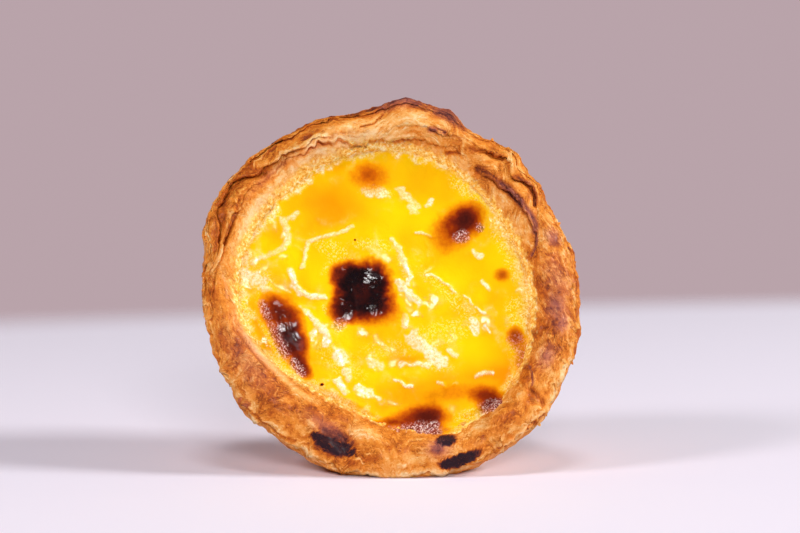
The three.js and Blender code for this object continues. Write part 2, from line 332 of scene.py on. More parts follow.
inside_z = np.array([CUSTARD_LEVEL - WALL_BEND, FLOOR_THICKNESS + WALL_BEND,
                     FLOOR_THICKNESS, FLOOR_THICKNESS]) + 0 * one

crust_r = np.concatenate([below_r, rim_r, inside_r], 1)
crust_z = np.concatenate([below_z, rim_z, inside_z], 1)
rim_from = below_r.shape[1]
rim = slice(rim_from, rim_from + rim_r.shape[1])


def whole(rim_values, below=0.0, inside=0.0):
    """Values on the rim's rings, with the given values on the rings below it and inside the cup."""
    return np.concatenate([below + 0 * below_r, rim_values, inside + 0 * inside_r], 1)


def around(angle, radius, level):
    return np.stack([radius * np.cos(angle), radius * np.sin(angle), level + 0 * radius], -1)


smooth_form = around(angle, crust_r, crust_z)
round_way = np.roll(smooth_form, -1, 0) - np.roll(smooth_form, 1, 0)
across_way = np.gradient(smooth_form, axis=1)
out_of_form = np.cross(round_way, across_way)
out_of_form /= np.linalg.norm(out_of_form, axis=-1, keepdims=True) + 1e-9
out_of_form[:, :3] = (0, 0, -1)

relief_r = whole(relief * fade * outward)
relief_z = whole(relief * fade * (1 - 0.8 * outward))
crust_form = around(angle, crust_r + relief_r, crust_z + relief_z)

grain = Grain(11)
ring_height = np.concatenate([np.linalg.norm(np.diff(smooth_form, axis=1), axis=-1), 0 * one], 1)
across_mm = np.cumsum(ring_height, 1) - ring_height
narrowing = np.clip(crust_r / base, 0, 1)
narrowing[:, rim_from:] = 1
ring_x, ring_y = round_x * narrowing, round_y * narrowing


def swell(length, width, seed, octaves=2, gain=0.5):
    """Noise over the crust from -1 to 1, drawn out to a length along the rim and a width across it, in mm."""
    across = across_mm / width + seed
    return grain.layered(ring_x / length, ring_y / length, across, octaves=octaves, gain=gain)


# the dough was cut from a roll, so its layers wind round in a spiral; each ends in a thin torn edge
LAYER_SPACING = 1.6
SPIRAL_TURNS = 14
LAYER_STEP = 0.32
LAYER_RISER = 0.13
layer_field = across_mm / LAYER_SPACING + SPIRAL_TURNS * angle / TURN
layer_field = layer_field + 0.7 * swell(10, 5, 11, gain=0.4) + 0.25 * swell(4, 3, 13, octaves=1)
layer_field = layer_field + 0.07 * swell(1.0, 0.9, 31, octaves=3, gain=0.7)
layer_part = layer_field - np.floor(layer_field)
layer_top = (layer_part / (1 - LAYER_RISER)) ** 1.4
layer_drop = smoothstep(1 - layer_part, 0, LAYER_RISER)
layer_height = np.where(layer_part < 1 - LAYER_RISER, layer_top, layer_drop)
layer_foot = np.exp(-((np.minimum(layer_part + 0.05, 0.95 - layer_part) / 0.07) ** 2))
layer_rim = np.exp(-(((layer_part - 0.76) / 0.1) ** 2))

# how far the layers opened: most at the upper left and upper right, at the lip and down the side
OPENED = [(1, 116, 18), (1, 144, 17), (0.4, 50, 16), (0.4, 68, 10)]
opened = np.clip(bumps(OPENED, angle), 0, 1)
opened_rim = opened * smoothstep(share - inner_edge, -0.05, 0.08)
opened_rim = np.maximum(opened_rim, 0.7 * opened * smoothstep(share, 0.2, 0.4))
opened_rim = np.maximum(opened_rim, 0.45 * smoothstep(share, 0.8, 0.95))
uneven = smoothstep(swell(8, 2.5, 71), -0.5, 0.35)
calm = 0.8 * np.maximum(bump_at(angle, 100, 26), bump_at(angle, 50, 14)) * (1 - smoothstep(share, 0.65, 0.85))
layered = whole(np.clip(opened_rim * (1 - calm), 0.1, 1), below=0.8) * (0.25 + 0.75 * uneven)

# where the skin of the roll wrinkled: the right side and the lower left
WRINKLED = [(1, 2, 26), (1, 333, 14), (0.55, 214, 17)]
wrinkled = whole(np.clip(bumps(WRINKLED, angle), 0, 1) * smoothstep(share, 0.1, 0.3), below=0.3)
wrinkle = 1 - 2 * np.abs(swell(2.1, 1.5, 61, gain=0.6))
lip_bumps = swell(2.8, 2.6, 37, octaves=3, gain=0.6) * whole(smoothstep(share, 0.78, 0.95), below=0.6)
blister = np.clip(swell(5.2, 3.4, 9, octaves=1), -0.3, 1) + 0.25 * swell(2.2, 1.6, 19, octaves=1)
blistered = whole((1 - 0.7 * opened) * smoothstep(share, 0.15, 0.4), below=0.35)
fine = swell(1.0, 0.8, 3, octaves=3, gain=0.55)

# the base has few rings of points, so only broad forms go there: the last turns of the rolled dough
BASE_TURN_WIDTH = 5.2
off_base = smoothstep(crust_r / base, 0.93, 1.0)
off_base[:, rim_from:] = 1
base_turns = np.cos(TURN * (crust_r / BASE_TURN_WIDTH + angle / TURN + 0.25 * swell(9, 9, 3)))

# thin skins that lifted off the folded dough and ended in ragged steps
SKIN_SPACING = 0.5
SKIN_STEP = 0.24
skin_field = (swell(8, 3.2, 83, octaves=3, gain=0.4) + 0.1 * fine) / SKIN_SPACING
skin_part = skin_field - np.floor(skin_field)
skin_height = smoothstep(skin_part, 0, 0.14) * (1 - skin_part) ** 0.8
skin_edge = np.exp(-(((skin_part - 0.17) / 0.1) ** 2))
skin_foot = np.exp(-((np.minimum(skin_part, 1 - skin_part) / 0.06) ** 2))
skinned = whole((1 - 0.75 * opened) * smoothstep(share, 0.1, 0.28), below=0.5)
skinned = skinned * (0.35 + 0.65 * smoothstep(swell(6, 4, 97), -0.4, 0.3))
# the left side and the bottom puffed up smooth
smooth_side = np.maximum(bump_at(angle, 180, 15), 0.8 * bump_at(angle, 268, 26))
smooth_side = whole(smooth_side * (1 - smoothstep(share, 0.6, 0.85)))
skinned = skinned * (1 - 0.6 * smooth_side) * (1 - 0.6 * whole(calm))

# all the low relief, in mm out of the smooth form
BLISTER_HEIGHT = 0.4
WRINKLE_HEIGHT = 0.14
LIP_BUMP_HEIGHT = 0.42
FINE_HEIGHT = 0.03
BASE_TURN_HEIGHT = 0.16
detail = LAYER_STEP * (layer_height - 0.4) * layered
detail += SKIN_STEP * (skin_height - 0.4) * skinned
detail += (BLISTER_HEIGHT * blister * blistered + WRINKLE_HEIGHT * wrinkle * wrinkled
           + LIP_BUMP_HEIGHT * lip_bumps)
detail += FINE_HEIGHT * fine * whole(0.3 + 0.7 * fade, below=1.0) * (1 + 1.6 * wrinkled)
detail = detail * off_base + BASE_TURN_HEIGHT * base_turns * (1 - off_base) * smoothstep(crust_r, 1, 5)

# folds, cracks and raised threads of the rim: [degrees, share] along each, then half-width and depth in mm
# and how deeply it is baked
FOLD_RADIUS = 34  # where lengths along the folds are counted
RIM_BAND = 9.2
FOLDS = [
    [(56, 0.26), (51.5, 0.32), (45.5, 0.38), (41, 0.43), (35, 0.47), 0.85, 0.4, 0.7],
    [(45.5, 0.38), (41, 0.43), (35, 0.46), (29.5, 0.5), (25.5, 0.5), (22.5, 0.43), 0.5, 0.5, 0.76],
    [(22, 0.43), (17, 0.32), (14, 0.17), 0.22, 0.5, 0.74],
    [(44, 0.66), (38.5, 0.79), (34, 0.77), (31.5, 0.69), 0.45, 0.4, 0.7],
    [(62, 0.48), (57, 0.63), (51.5, 0.72), 0.45, 0.5, 0.58],
    [(78, 0.36), (75.5, 0.39), (72.5, 0.43), 0.35, 0.6, 0.76],
    [(70.5, 0.15), (68, 0.22), (65.5, 0.3), 0.3, 0.5, 0.66],
    [(102, 0.44), (97.5, 0.47), (94, 0.68), (91.5, 0.95), 0.2, 0.4, 0.68],
    [(138.5, 0.6), (141.5, 0.75), (144.5, 0.83), (152, 0.83), (158, 0.7), (163, 0.69), (168.5, 0.72),
     0.9, 0.42, 0.6],
    [(149.5, 0.58), (155, 0.49), (160.5, 0.47), (166, 0.5), 0.4, 0.4, 0.6],
    [(140, 0.85), (138.5, 0.7), (137.5, 0.56), 0.22, 0.35, 0.61],
    [(121, 0.63), (118.5, 0.65), 0.35, 0.7, 0.68],
    [(131.5, 0.78), (130, 0.8), 0.3, 0.5, 0.68],
    [(207.5, 0.63), (208.5, 0.81), 0.25, 0.4, 0.68],
    [(217, 0.93), (220, 0.91), 0.3, 0.7, 0.78],
    [(178.5, 0.66), (185, 0.7), (191, 0.84), 0.2, 0.3, 0.6],
    [(328, 0.2), (325, 0.36), (322, 0.5), 0.16, 0.45, 0.74],
    [(320, 0.56), (317.5, 0.66), 0.75, 0.45, 0.6],
    [(66, 0.62), (65, 0.45), (64, 0.34), 0.35, -0.35, 0.16],
    [(53, 0.97), (49.5, 0.79), (46, 0.7), 0.14, -0.3, 0.16],
    [(198.5, 0.18), (204, 0.15), (210, 0.13), (218.5, 0.18), (226, 0.24), (231, 0.27), (237, 0.25),
     0.75, -0.24, 0.2],
    [(197, 0.32), (205, 0.27), (214, 0.27), (222, 0.33), (229, 0.38), 0.35, 0.2, 0.56],
    [(236.5, 0.39), (244, 0.47), (250, 0.47), 0.7, 0.1, 0.6],
    [(238.5, 0.55), (243.5, 0.64), 0.3, -0.3, 0.14],
    [(320.5, 0.5), (320.5, 0.7), (320, 0.84), 0.6, 0.6, 0.64],
    [(217, 0.96), (223, 0.93), (231, 0.95), (238, 0.92), 0.16, 0.25, 0.66],
    [(296, 0.97), (301, 0.95), (306, 0.97), 0.16, 0.3, 0.7],
    [(309, 0.97), (313, 0.93), (319, 0.95), 0.18, 0.35, 0.7],
]


def path_distance(x, y, path):
    """How far points are from a line through given ones."""
    nearest = np.inf
    for (x0, y0), (x1, y1) in zip(path, path[1:]):
        length = (x1 - x0) ** 2 + (y1 - y0) ** 2
        t = np.clip(((x - x0) * (x1 - x0) + (y - y0) * (y1 - y0)) / length, 0, 1)
        nearest = np.minimum(nearest, np.hypot(x - lerp(x0, x1, t), y - lerp(y0, y1, t)))
    return nearest


# how deeply the pastry is baked, from 0, cream, over golden and brown to 1, burnt, with painted shade and
# painted highlight of the leaves and layers added in: first round the rim
BROWNING = [
    (0, 0.52), (25, 0.4), (50, 0.34), (75, 0.33), (100, 0.31), (125, 0.33), (150, 0.385), (175, 0.375),
    (195, 0.4), (215, 0.45), (240, 0.44), (265, 0.41), (290, 0.375), (315, 0.39), (340, 0.53),
]
bake_and_shade = (0.13 + 0.1 * bump_at(angle, 275, 35)) * swell(7, 4, 5)
bake_and_shade = bake_and_shade + 0.14 * swell(2.6, 1.8, 25, octaves=3, gain=0.55)
bake_and_shade = along_rim(BROWNING, angle) + bake_and_shade * (1 - 0.6 * smooth_side)
bake_and_shade -= 0.07 * np.clip(wrinkle, -1, 1) * wrinkled
bake_and_shade += 0.06 * np.clip(blister, 0, 1) * blistered
# each layer and skin step is painted darker down to its foot, painted shade, and paler along its lifted edge,
# painted highlight
bake_and_shade += (0.1 * (0.5 - layer_height) - 0.2 * layer_rim + 0.11 * layer_foot) * layered
bake_and_shade += (0.1 * (0.4 - skin_height) - 0.12 * skin_edge + 0.12 * skin_foot) * skinned
bake_and_shade = lerp(0.44 + 0.06 * base_turns + 0.14 * swell(9, 30, 5, octaves=1), bake_and_shade, off_base)
layered = lerp(0.3, layered, off_base)

# lighter and darker places: degrees, share, half-length along, half-width across in mm, how much darker
TONES = [
    (118, 0.9, 15, 2.0, 0.22), (102, 0.9, 7, 1.6, 0.2), (117, 0.36, 7, 0.7, 0.14), (136, 0.46, 8, 0.8, 0.1),
    (116, 0.52, 9, 0.9, -0.18), (98, 0.24, 6, 0.6, -0.16), (122, 0.08, 16, 0.7, -0.26),
    (150, 0.2, 9, 1.0, -0.2), (178, 0.35, 8, 1.6, -0.06), (203, 0.64, 2.6, 1.8, 0.14),
    (202, 0.42, 1.6, 0.9, 0.12), (213, 0.57, 2.2, 1.2, 0.16), (219, 0.58, 2.0, 1.3, 0.12),
    (226, 0.62, 2.4, 1.2, 0.16), (217, 0.4, 1.5, 0.8, 0.12), (236, 0.35, 4.5, 1.4, 0.1),
    (262, 0.35, 3.2, 1.3, -0.26), (256, 0.4, 2.4, 0.9, -0.2), (270, 0.5, 3, 1.2, 0.1),
    (277, 0.7, 2.4, 1.0, -0.14), (263, 0.72, 2.0, 0.9, 0.12), (296, 0.6, 3.2, 1.0, 0.16),
    (305, 0.6, 2.8, 1.0, 0.16), (312, 0.58, 2.0, 0.9, 0.1), (300, 0.35, 3.5, 0.9, -0.12),
    (333.5, 0.47, 2.2, 1.3, 0.2), (352, 0.48, 2.8, 1.8, 0.16), (347, 0.62, 2.2, 1.2, 0.18),
    (8, 0.6, 3.0, 1.8, 0.1), (341, 0.4, 1.4, 1.2, -0.14), (358, 0.82, 2.2, 1.2, -0.16),
    (343, 0.85, 3.0, 1.0, -0.12), (327, 0.75, 2.0, 1.2, -0.14), (18, 0.68, 1.6, 1.2, 0.22),
    (87, 0.88, 5.0, 2.0, 0.4), (74, 0.82, 4.2, 2.4, 0.38), (81, 0.6, 3.0, 1.8, -0.14),
    (73, 0.58, 1.8, 0.9, -0.26), (60, 0.9, 5, 1.2, 0.12), (38, 0.95, 5, 1.0, 0.14),
    (28, 0.2, 6, 1.2, -0.12), (128, 0.25, 12, 0.9, -0.3), (108, 0.22, 6, 0.8, -0.16),
    (158, 0.25, 8, 1.4, -0.12), (102, 0.4, 8, 1.4, -0.1), (345, 0.2, 4, 1.2, 0.04), (90, 0.5, 4, 1.6, -0.1),
    (45, 0.22, 5, 1.0, -0.12),
]


def rim_blot(oval, rough):
    """1 on the outline of an oval on the rim, less inside."""
    at, at_share, long, wide = oval
    along = np.radians(turn_to(angle, at)) * RIM_RADIUS / long
    across = (share - at_share) * band / wide
    return np.hypot(along, across) + rough * fine[:, rim]


for *oval, darker in TONES:
    bake_and_shade[:, rim] += darker * np.exp(-(rim_blot(oval, 0.15) ** 2))
# the gutters' painted shade goes into the baking, browner at the upper left, and the torn edges paler
bake_and_shade += whole((0.18 + 0.2 * bump_at(angle, 107, 18)) * gutter_shade - 0.24 * edge_pale)
# the lower lip, near the table, is paler; the side below the rim is browned more evenly
PALE_LIP = [(1, 222, 22), (1, 270, 30), (1, 316, 20)]
PALEST = 0.04
DARKEST = 0.88
SIDE_BAKE = 0.42
pale_lip = whole(smoothstep(share, 0.86, 0.95), below=0.6) * np.clip(bumps(PALE_LIP, angle), 0, 1)
bake_and_shade = np.clip(bake_and_shade - 0.16 * pale_lip, PALEST, DARKEST)
bake_and_shade[:, :rim_from] = lerp(SIDE_BAKE, bake_and_shade[:, :rim_from], 0.7)

# where the browned skin is tinted mauve, a painted reflection of the lilac room: degrees, share, half-length
# along, half-width across in mm, strength
MAUVE_REFLECTION_PLACES = [
    (352, 0.48, 3.2, 1.9, 0.8), (347, 0.62, 2.4, 1.4, 0.8), (333.5, 0.47, 2.4, 1.5, 0.8),
    (18, 0.68, 1.7, 1.2, 0.8), (88, 0.88, 4.0, 1.4, 0.8), (74, 0.84, 3.6, 1.8, 0.6),
    (117, 0.36, 6, 0.6, 0.25), (136, 0.46, 6, 0.7, 0.25), (245, 0.5, 5, 1.4, 0.5), (210, 0.5, 8, 2.4, 0.3),
    (284, 0.55, 2.0, 1.4, 0.9), (2, 0.55, 5, 2.4, 0.4), (204, 0.2, 8, 0.9, 0.5),
]
mauve_reflection = 0 * share
for *oval, strength in MAUVE_REFLECTION_PLACES:
    mauve_reflection = np.maximum(mauve_reflection, strength * np.exp(-(rim_blot(oval, 0.3) ** 2)))
for *path, half_width, depth, baked in FOLDS:
    middle = path[len(path) // 2][0]
    straight = [(np.radians(a - middle) * FOLD_RADIUS, s * RIM_BAND) for a, s in path]
    u = np.radians(turn_to(angle, middle)) * FOLD_RADIUS + 0.3 * fine[:, rim]
    groove = np.exp(-((path_distance(u, share * RIM_BAND, straight) / half_width) ** 2))
    detail[:, rim] -= depth * groove
    bake_and_shade[:, rim] = lerp(bake_and_shade[:, rim], baked, 0.95 * groove)
    # deep folds take the painted mauve reflection too
    mauve_reflection = np.maximum(mauve_reflection, groove * smoothstep(baked, 0.69, 0.77))

crust_form = crust_form + out_of_form * detail[..., None]

# scorched patches on the rim: degrees, share, half-length along, half-width across in mm, strength
CRUST_SCORCHES = [
    (249.5, 0.72, 4.9, 1.5, 1.0), (249.5, 0.58, 4.0, 1.3, 0.82), (289, 0.85, 4.0, 0.95, 1.0),
    (287, 0.42, 2.1, 1.3, 0.97), (283.5, 0.56, 1.3, 0.9, 0.74), (16, 0.72, 1.2, 0.9, 0.7),
    (182, 0.72, 0.8, 1.1, 0.6), (351, 0.5, 0.5, 0.4, 0.8),
]
for *oval, strength in CRUST_SCORCHES:
    soft = 0.16 + 1.8 * (1 - strength)
    mark = 1 - smoothstep(rim_blot(oval, 0.2), 1 - soft, 1 + soft)
    bake_and_shade[:, rim] = np.maximum(bake_and_shade[:, rim], lerp(bake_and_shade[:, rim], strength, mark))


def closed_lathe(name, form):
    """A closed mesh object from rings of points, the first and last ring drawn together to one point."""
    turns, rings = form.shape[:2]
    poles = form[0, [0, -1]]
    body = form[:, 1:-1].reshape(-1, 3)
    points = stand_up(np.concatenate([body, poles]))
    i, j = np.meshgrid(np.arange(turns), np.arange(rings - 3), indexing="ij")
    here, there = i * (rings - 2) + j, (i + 1) % turns * (rings - 2) + j
    quads = np.stack([here, there, there + 1, here + 1], -1).reshape(-1, 4).tolist()
    k = np.arange(turns)
    this, following = k * (rings - 2), (k + 1) % turns * (rings - 2)
    first, last = turns * (rings - 2), turns * (rings - 2) + 1
    fans = [(first, b, a) for a, b in zip(this, following)]
    fans += [(last, a, b) for a, b in zip(this + rings - 3, following + rings - 3)]
    mesh = bpy.data.meshes.new(name)
    mesh.from_pydata(points.tolist(), [], quads + [tuple(map(int, fan)) for fan in fans])
    mesh.shade_smooth()
    mesh.update()
    piece = bpy.data.objects.new(name, mesh)
    bpy.context.scene.collection.objects.link(piece)
    return piece


def carry(piece, name, values):
    """Stores values given ring by ring, as closed_lathe takes its points, on the piece's vertices."""
    kind, key = ("FLOAT_VECTOR", "vector") if values.ndim == 3 else ("FLOAT", "value")
    flat = values[:, 1:-1].reshape(-1, *values.shape[2:])
    flat = np.concatenate([flat, values[0, [0, -1]]])
    layer = piece.data.attributes.new(name, kind, "POINT")
    layer.data.foreach_set(key, flat.astype(np.float32).ravel())


crust = closed_lathe("pastry_crust", crust_form)
carry(crust, "bake_and_shade", bake_and_shade)
carry(crust, "layered", layered)
carry(crust, "mauve_reflection", whole(mauve_reflection))
foot = share * band + 0.7 * swell(1.6, 1.4, 41)[:, rim] + 0.25 * fine[:, rim]
foot_width = 1.5 + 0.7 * bump_at(angle, 130, 40)
carry(crust, "glazed", whole(1 - smoothstep(foot, 0.3 * foot_width, foot_width)))
carry(crust, "leaves", np.stack([ring_x, ring_y, across_mm], -1))


def fill(node, inputs):
    """Sets a node's inputs; each is a value or another node's output."""
    for key, value in inputs.items():
        if isinstance(value, bpy.types.NodeSocket):
            tree.links.new(value, node.inputs[key])
        else:
            node.inputs[key].default_value = value


def add_node(kind, inputs=None, **settings):
    """A new node in the tree that is being built."""
    node = tree.nodes.new(kind)
    for key, value in settings.items():
        setattr(node, key, value)
    fill(node, inputs or {})
    return node


def stored(name):
    return add_node("ShaderNodeAttribute", attribute_name=name).outputs["Fac"]


def noise(at, scale, detail, roughness=0.5):
    settings = {"Vector": at, "Scale": scale, "Detail": detail, "Roughness": roughness}
    return add_node("ShaderNodeTexNoise", settings).outputs["Fac"]


def remap(value, low, high, to_low=0.0, to_high=1.0, **settings):
    limits = {"From Min": low, "From Max": high, "To Min": to_low, "To Max": to_high}
    return add_node("ShaderNodeMapRange", {"Value": value, **limits}, **settings).outputs[0]


def maths(operation, *values):
    return add_node("ShaderNodeMath", dict(enumerate(values)), operation=operation).outputs[0]


def plus(a, b):
    return maths("ADD", a, b)


def times(a, b):
    return maths("MULTIPLY", a, b)


def mix_colours(share, a, b):
    return add_node("ShaderNodeMix", {"Factor": share, 6: a, 7: b}, data_type="RGBA").outputs[2]


def colour_ramp(factor, stops):
    ramp = add_node("ShaderNodeValToRGB", {"Fac": factor})
    points = ramp.color_ramp.elements
    for position, _ in stops[2:]:
        points.new(position)
    for point, (position, _) in zip(points, stops):
        point.position = position
    for point, (_, colour) in zip(points, stops):
        point.color = (*colour, 1)
    return ramp.outputs["Color"]


def relief_of(layers):
    """Bump nodes on each other, each with its height, strength and distance in metres."""
    normal = None
    for height, strength, distance in layers:
        bump = add_node("ShaderNodeBump", {"Height": height, "Strength": strength, "Distance": distance})
        if normal is not None:
            tree.links.new(normal, bump.inputs["Normal"])
        normal = bump.outputs[0]
    return normal


def surface(name):
    """A new material, its node tree and its shader."""
    material = bpy.data.materials.new(name)
    material.use_nodes = True
    return material, material.node_tree, material.node_tree.nodes["Principled BSDF"]


# what each depth of baking and painted shade looks like, where the skin is brown and where it has the painted
# mauve reflection
PASTRY_COLOURS = [
    (0.0, (0.92, 0.66, 0.34)), (0.17, (0.87, 0.45, 0.13)), (0.36, (0.75, 0.255, 0.028)),
    (0.54, (0.50, 0.11, 0.008)), (0.72, (0.21, 0.036, 0.008)), (0.86, (0.085, 0.018, 0.013)),
    (1.0, (0.022, 0.007, 0.012)),
]
MAUVE_REFLECTION_COLOURS = [
    (0.2, (0.86, 0.52, 0.34)), (0.5, (0.56, 0.20, 0.11)), (0.7, (0.35, 0.105, 0.080)),
    (0.86, (0.13, 0.036, 0.038)), (1.0, (0.026, 0.008, 0.015)),
]
# the custard's glaze on the foot of the pastry wall
GLAZE_COLOURS = [
    (0.28, (0.66, 0.21, 0.015)), (0.43, (0.90, 0.43, 0.05)), (0.54, (1.0, 0.65, 0.15)),
    (0.65, (1.0, 0.88, 0.50)),
]
pastry, tree, shader = surface("baked_pastry")
place = add_node("ShaderNodeTexCoord").outputs["Object"]
leaves = add_node("ShaderNodeAttribute", attribute_name="leaves").outputs["Vector"]
drawn = add_node("ShaderNodeMapping", {"Vector": leaves, "Scale": (0.16, 0.16, 2.6)}).outputs[0]
streak = plus(noise(drawn, 1, 3, 0.55), -0.5)
streak = times(streak, remap(stored("layered"), 0, 1, 0.12, 0.5))
mottle = noise(place, 700, 3, 0.55)
blotch = maths("MULTIPLY_ADD", mottle, 0.28, -0.14)
split = {"Vector": leaves, "Scale": (0.3, 0.3, 1.7), "Location": (7, 0, 0)}
split = noise(add_node("ShaderNodeMapping", split).outputs[0], 1, 4, 0.65)
line = remap(maths("ABSOLUTE", maths("SUBTRACT", split, 0.5)), 0.022, 0.004)
crack = times(line, remap(noise(place, 330, 2), 0.47, 0.6, 0, 0.24))
chip_pale = remap(split, 0.6, 0.64, 0, -0.16)
specks = noise(place, 2600, 3, 0.6)
pits = remap(specks, 0.58, 0.7, 0, 0.16)
flecks = remap(specks, 0.42, 0.34, 0, -0.12)
depth = stored("bake_and_shade")
for change in (streak, blotch, crack, chip_pale, pits, flecks):
    depth = plus(depth, change)
foot_colour = colour_ramp(noise(place, 1500, 3, 0.7), GLAZE_COLOURS)
pastry_colour = mix_colours(stored("glazed"), colour_ramp(depth, PASTRY_COLOURS), foot_colour)
pastry_colour = mix_colours(stored("mauve_reflection"), pastry_colour, colour_ramp(depth, MAUVE_REFLECTION_COLOURS))
pastry_relief = relief_of([(specks, 0.2, 0.0003), (streak, 0.5, 0.0006), (chip_pale, 0.6, -0.0009),
                           (crack, 0.6, -0.0006), (mottle, 0.32, 0.0005)])
fill(shader, {
    "Base Color": pastry_colour, "Normal": pastry_relief, "Roughness": 0.65, "Specular IOR Level": 0.1,
    "Coat Weight": 0.09, "Coat Roughness": remap(mottle, 0, 1, 0.14, 0.34),
    "Subsurface Weight": 0.12, "Subsurface Radius": (1.0, 0.5, 0.2), "Subsurface Scale": 0.0005,
})
crust.data.materials.append(pastry)
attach(crust, "root")
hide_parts("pastry_shell")

# ======== Custard ========
# Egg custard poured into the raw cup and baked until it set. Its skin swelled, wrinkled and scorched in
# blisters, and fine froth dried in patches and round the edge. It clings to the pastry all round.
CUSTARD_SEGMENTS = 580
CUSTARD_RINGS = 160
CUSTARD_CLING = 0.9  # how far a film of custard climbs over the foot of the pastry wall, in mm
CUSTARD_RISE = 0.3  # how far the skin lies above the level of the pastry's edge
GAP = 0.3
FILM_THICKNESS = 0.16
EDGE_RAGGED = 0.55
BLISTER_MIDDLE = -6.6
FOLD_RISE = 0.7
BILLOW_RISE = 0.8

# long swellings of the skin: height in mm, length, degrees, shift as a share of the length
BILLOWS = [(0.5, 21, 25, 0.1), (0.4, 15, 110, 0.45), (0.3, 10.5, 65, 0.8), (0.22, 8, 160, 0.3)]

# scorched blisters: x, y, half-length, half-width, degrees, height in mm, squareness, darkness, softness
BLISTERS = [
    (-6.6, -0.2, 5.6, 5.9, 8, 0.4, 3.4, 0.98, 0.5), (-10.8, -4.4, 2.6, 2.8, 0, 0.1, 2, 0.6, 1.0),
    (-2.6, -5.6, 4.6, 2.2, 8, 0, 2, 0.3, 1.3), (-10.0, 3.6, 3.0, 2.8, 0, 0.1, 2, 0.5, 1.0),
    (14.0, 14.8, 3.4, 2.7, 35, 0.6, 2, 0.66, 1.4), (12.2, 13.2, 5.6, 4.0, 38, 0.1, 2, 0.5, 1.3),
    (-21.8, -6.6, 5.4, 3.1, 112, 0.7, 2.2, 0.68, 1.1), (-20.4, -11.6, 4.4, 2.6, 118, 0.4, 2, 0.74, 1.0),
    (-18.4, -16.2, 2.6, 1.4, 126, 0.15, 2, 0.6, 1.0), (-25.2, -4.4, 3.6, 2.2, 104, 0.1, 2, 0.46, 1.3),
    (4.6, -26.6, 5.2, 2.4, 4, 0.2, 2, 0.62, 1.3), (7.2, -26.0, 3.2, 2.0, -12, 0.1, 2, 0.45, 1.3),
    (-2.4, -27.9, 4.6, 1.2, 8, 0.1, 2, 0.42, 1.3), (5.2, -29.6, 5.8, 1.7, 2, 0.1, 2, 0.5, 1.0),
    (18.5, -22.6, 3.4, 2.3, -8, 0.4, 2, 0.62, 1.3), (19.8, -24.6, 3.0, 1.6, 6, 0.1, 2, 0.42, 1.2),
    (-5.4, 24.4, 3.8, 2.8, 0, 0.5, 2, 0.48, 1.6), (21.4, 3.0, 1.5, 1.3, 0, 0.3, 2, 0.46, 1.3),
    (23.8, -9.8, 1.7, 1.9, 0, 0.3, 2, 0.5, 1.2), (-14.6, -19.8, 0.35, 0.3, 0, 0, 2, 1.0, 0.3),
    (-8.2, 10.6, 0.2, 0.2, 0, 0, 2, 1.0, 0.3), (11.4, -21.4, 8.0, 2.0, 10, 0, 2, 0.3, 1.3),
    (26.2, -13.6, 3.4, 1.8, 96, 0.1, 2, 0.34, 1.3), (24.8, -16.2, 3.4, 1.7, 106, 0.05, 2, 0.22, 1.3),
]
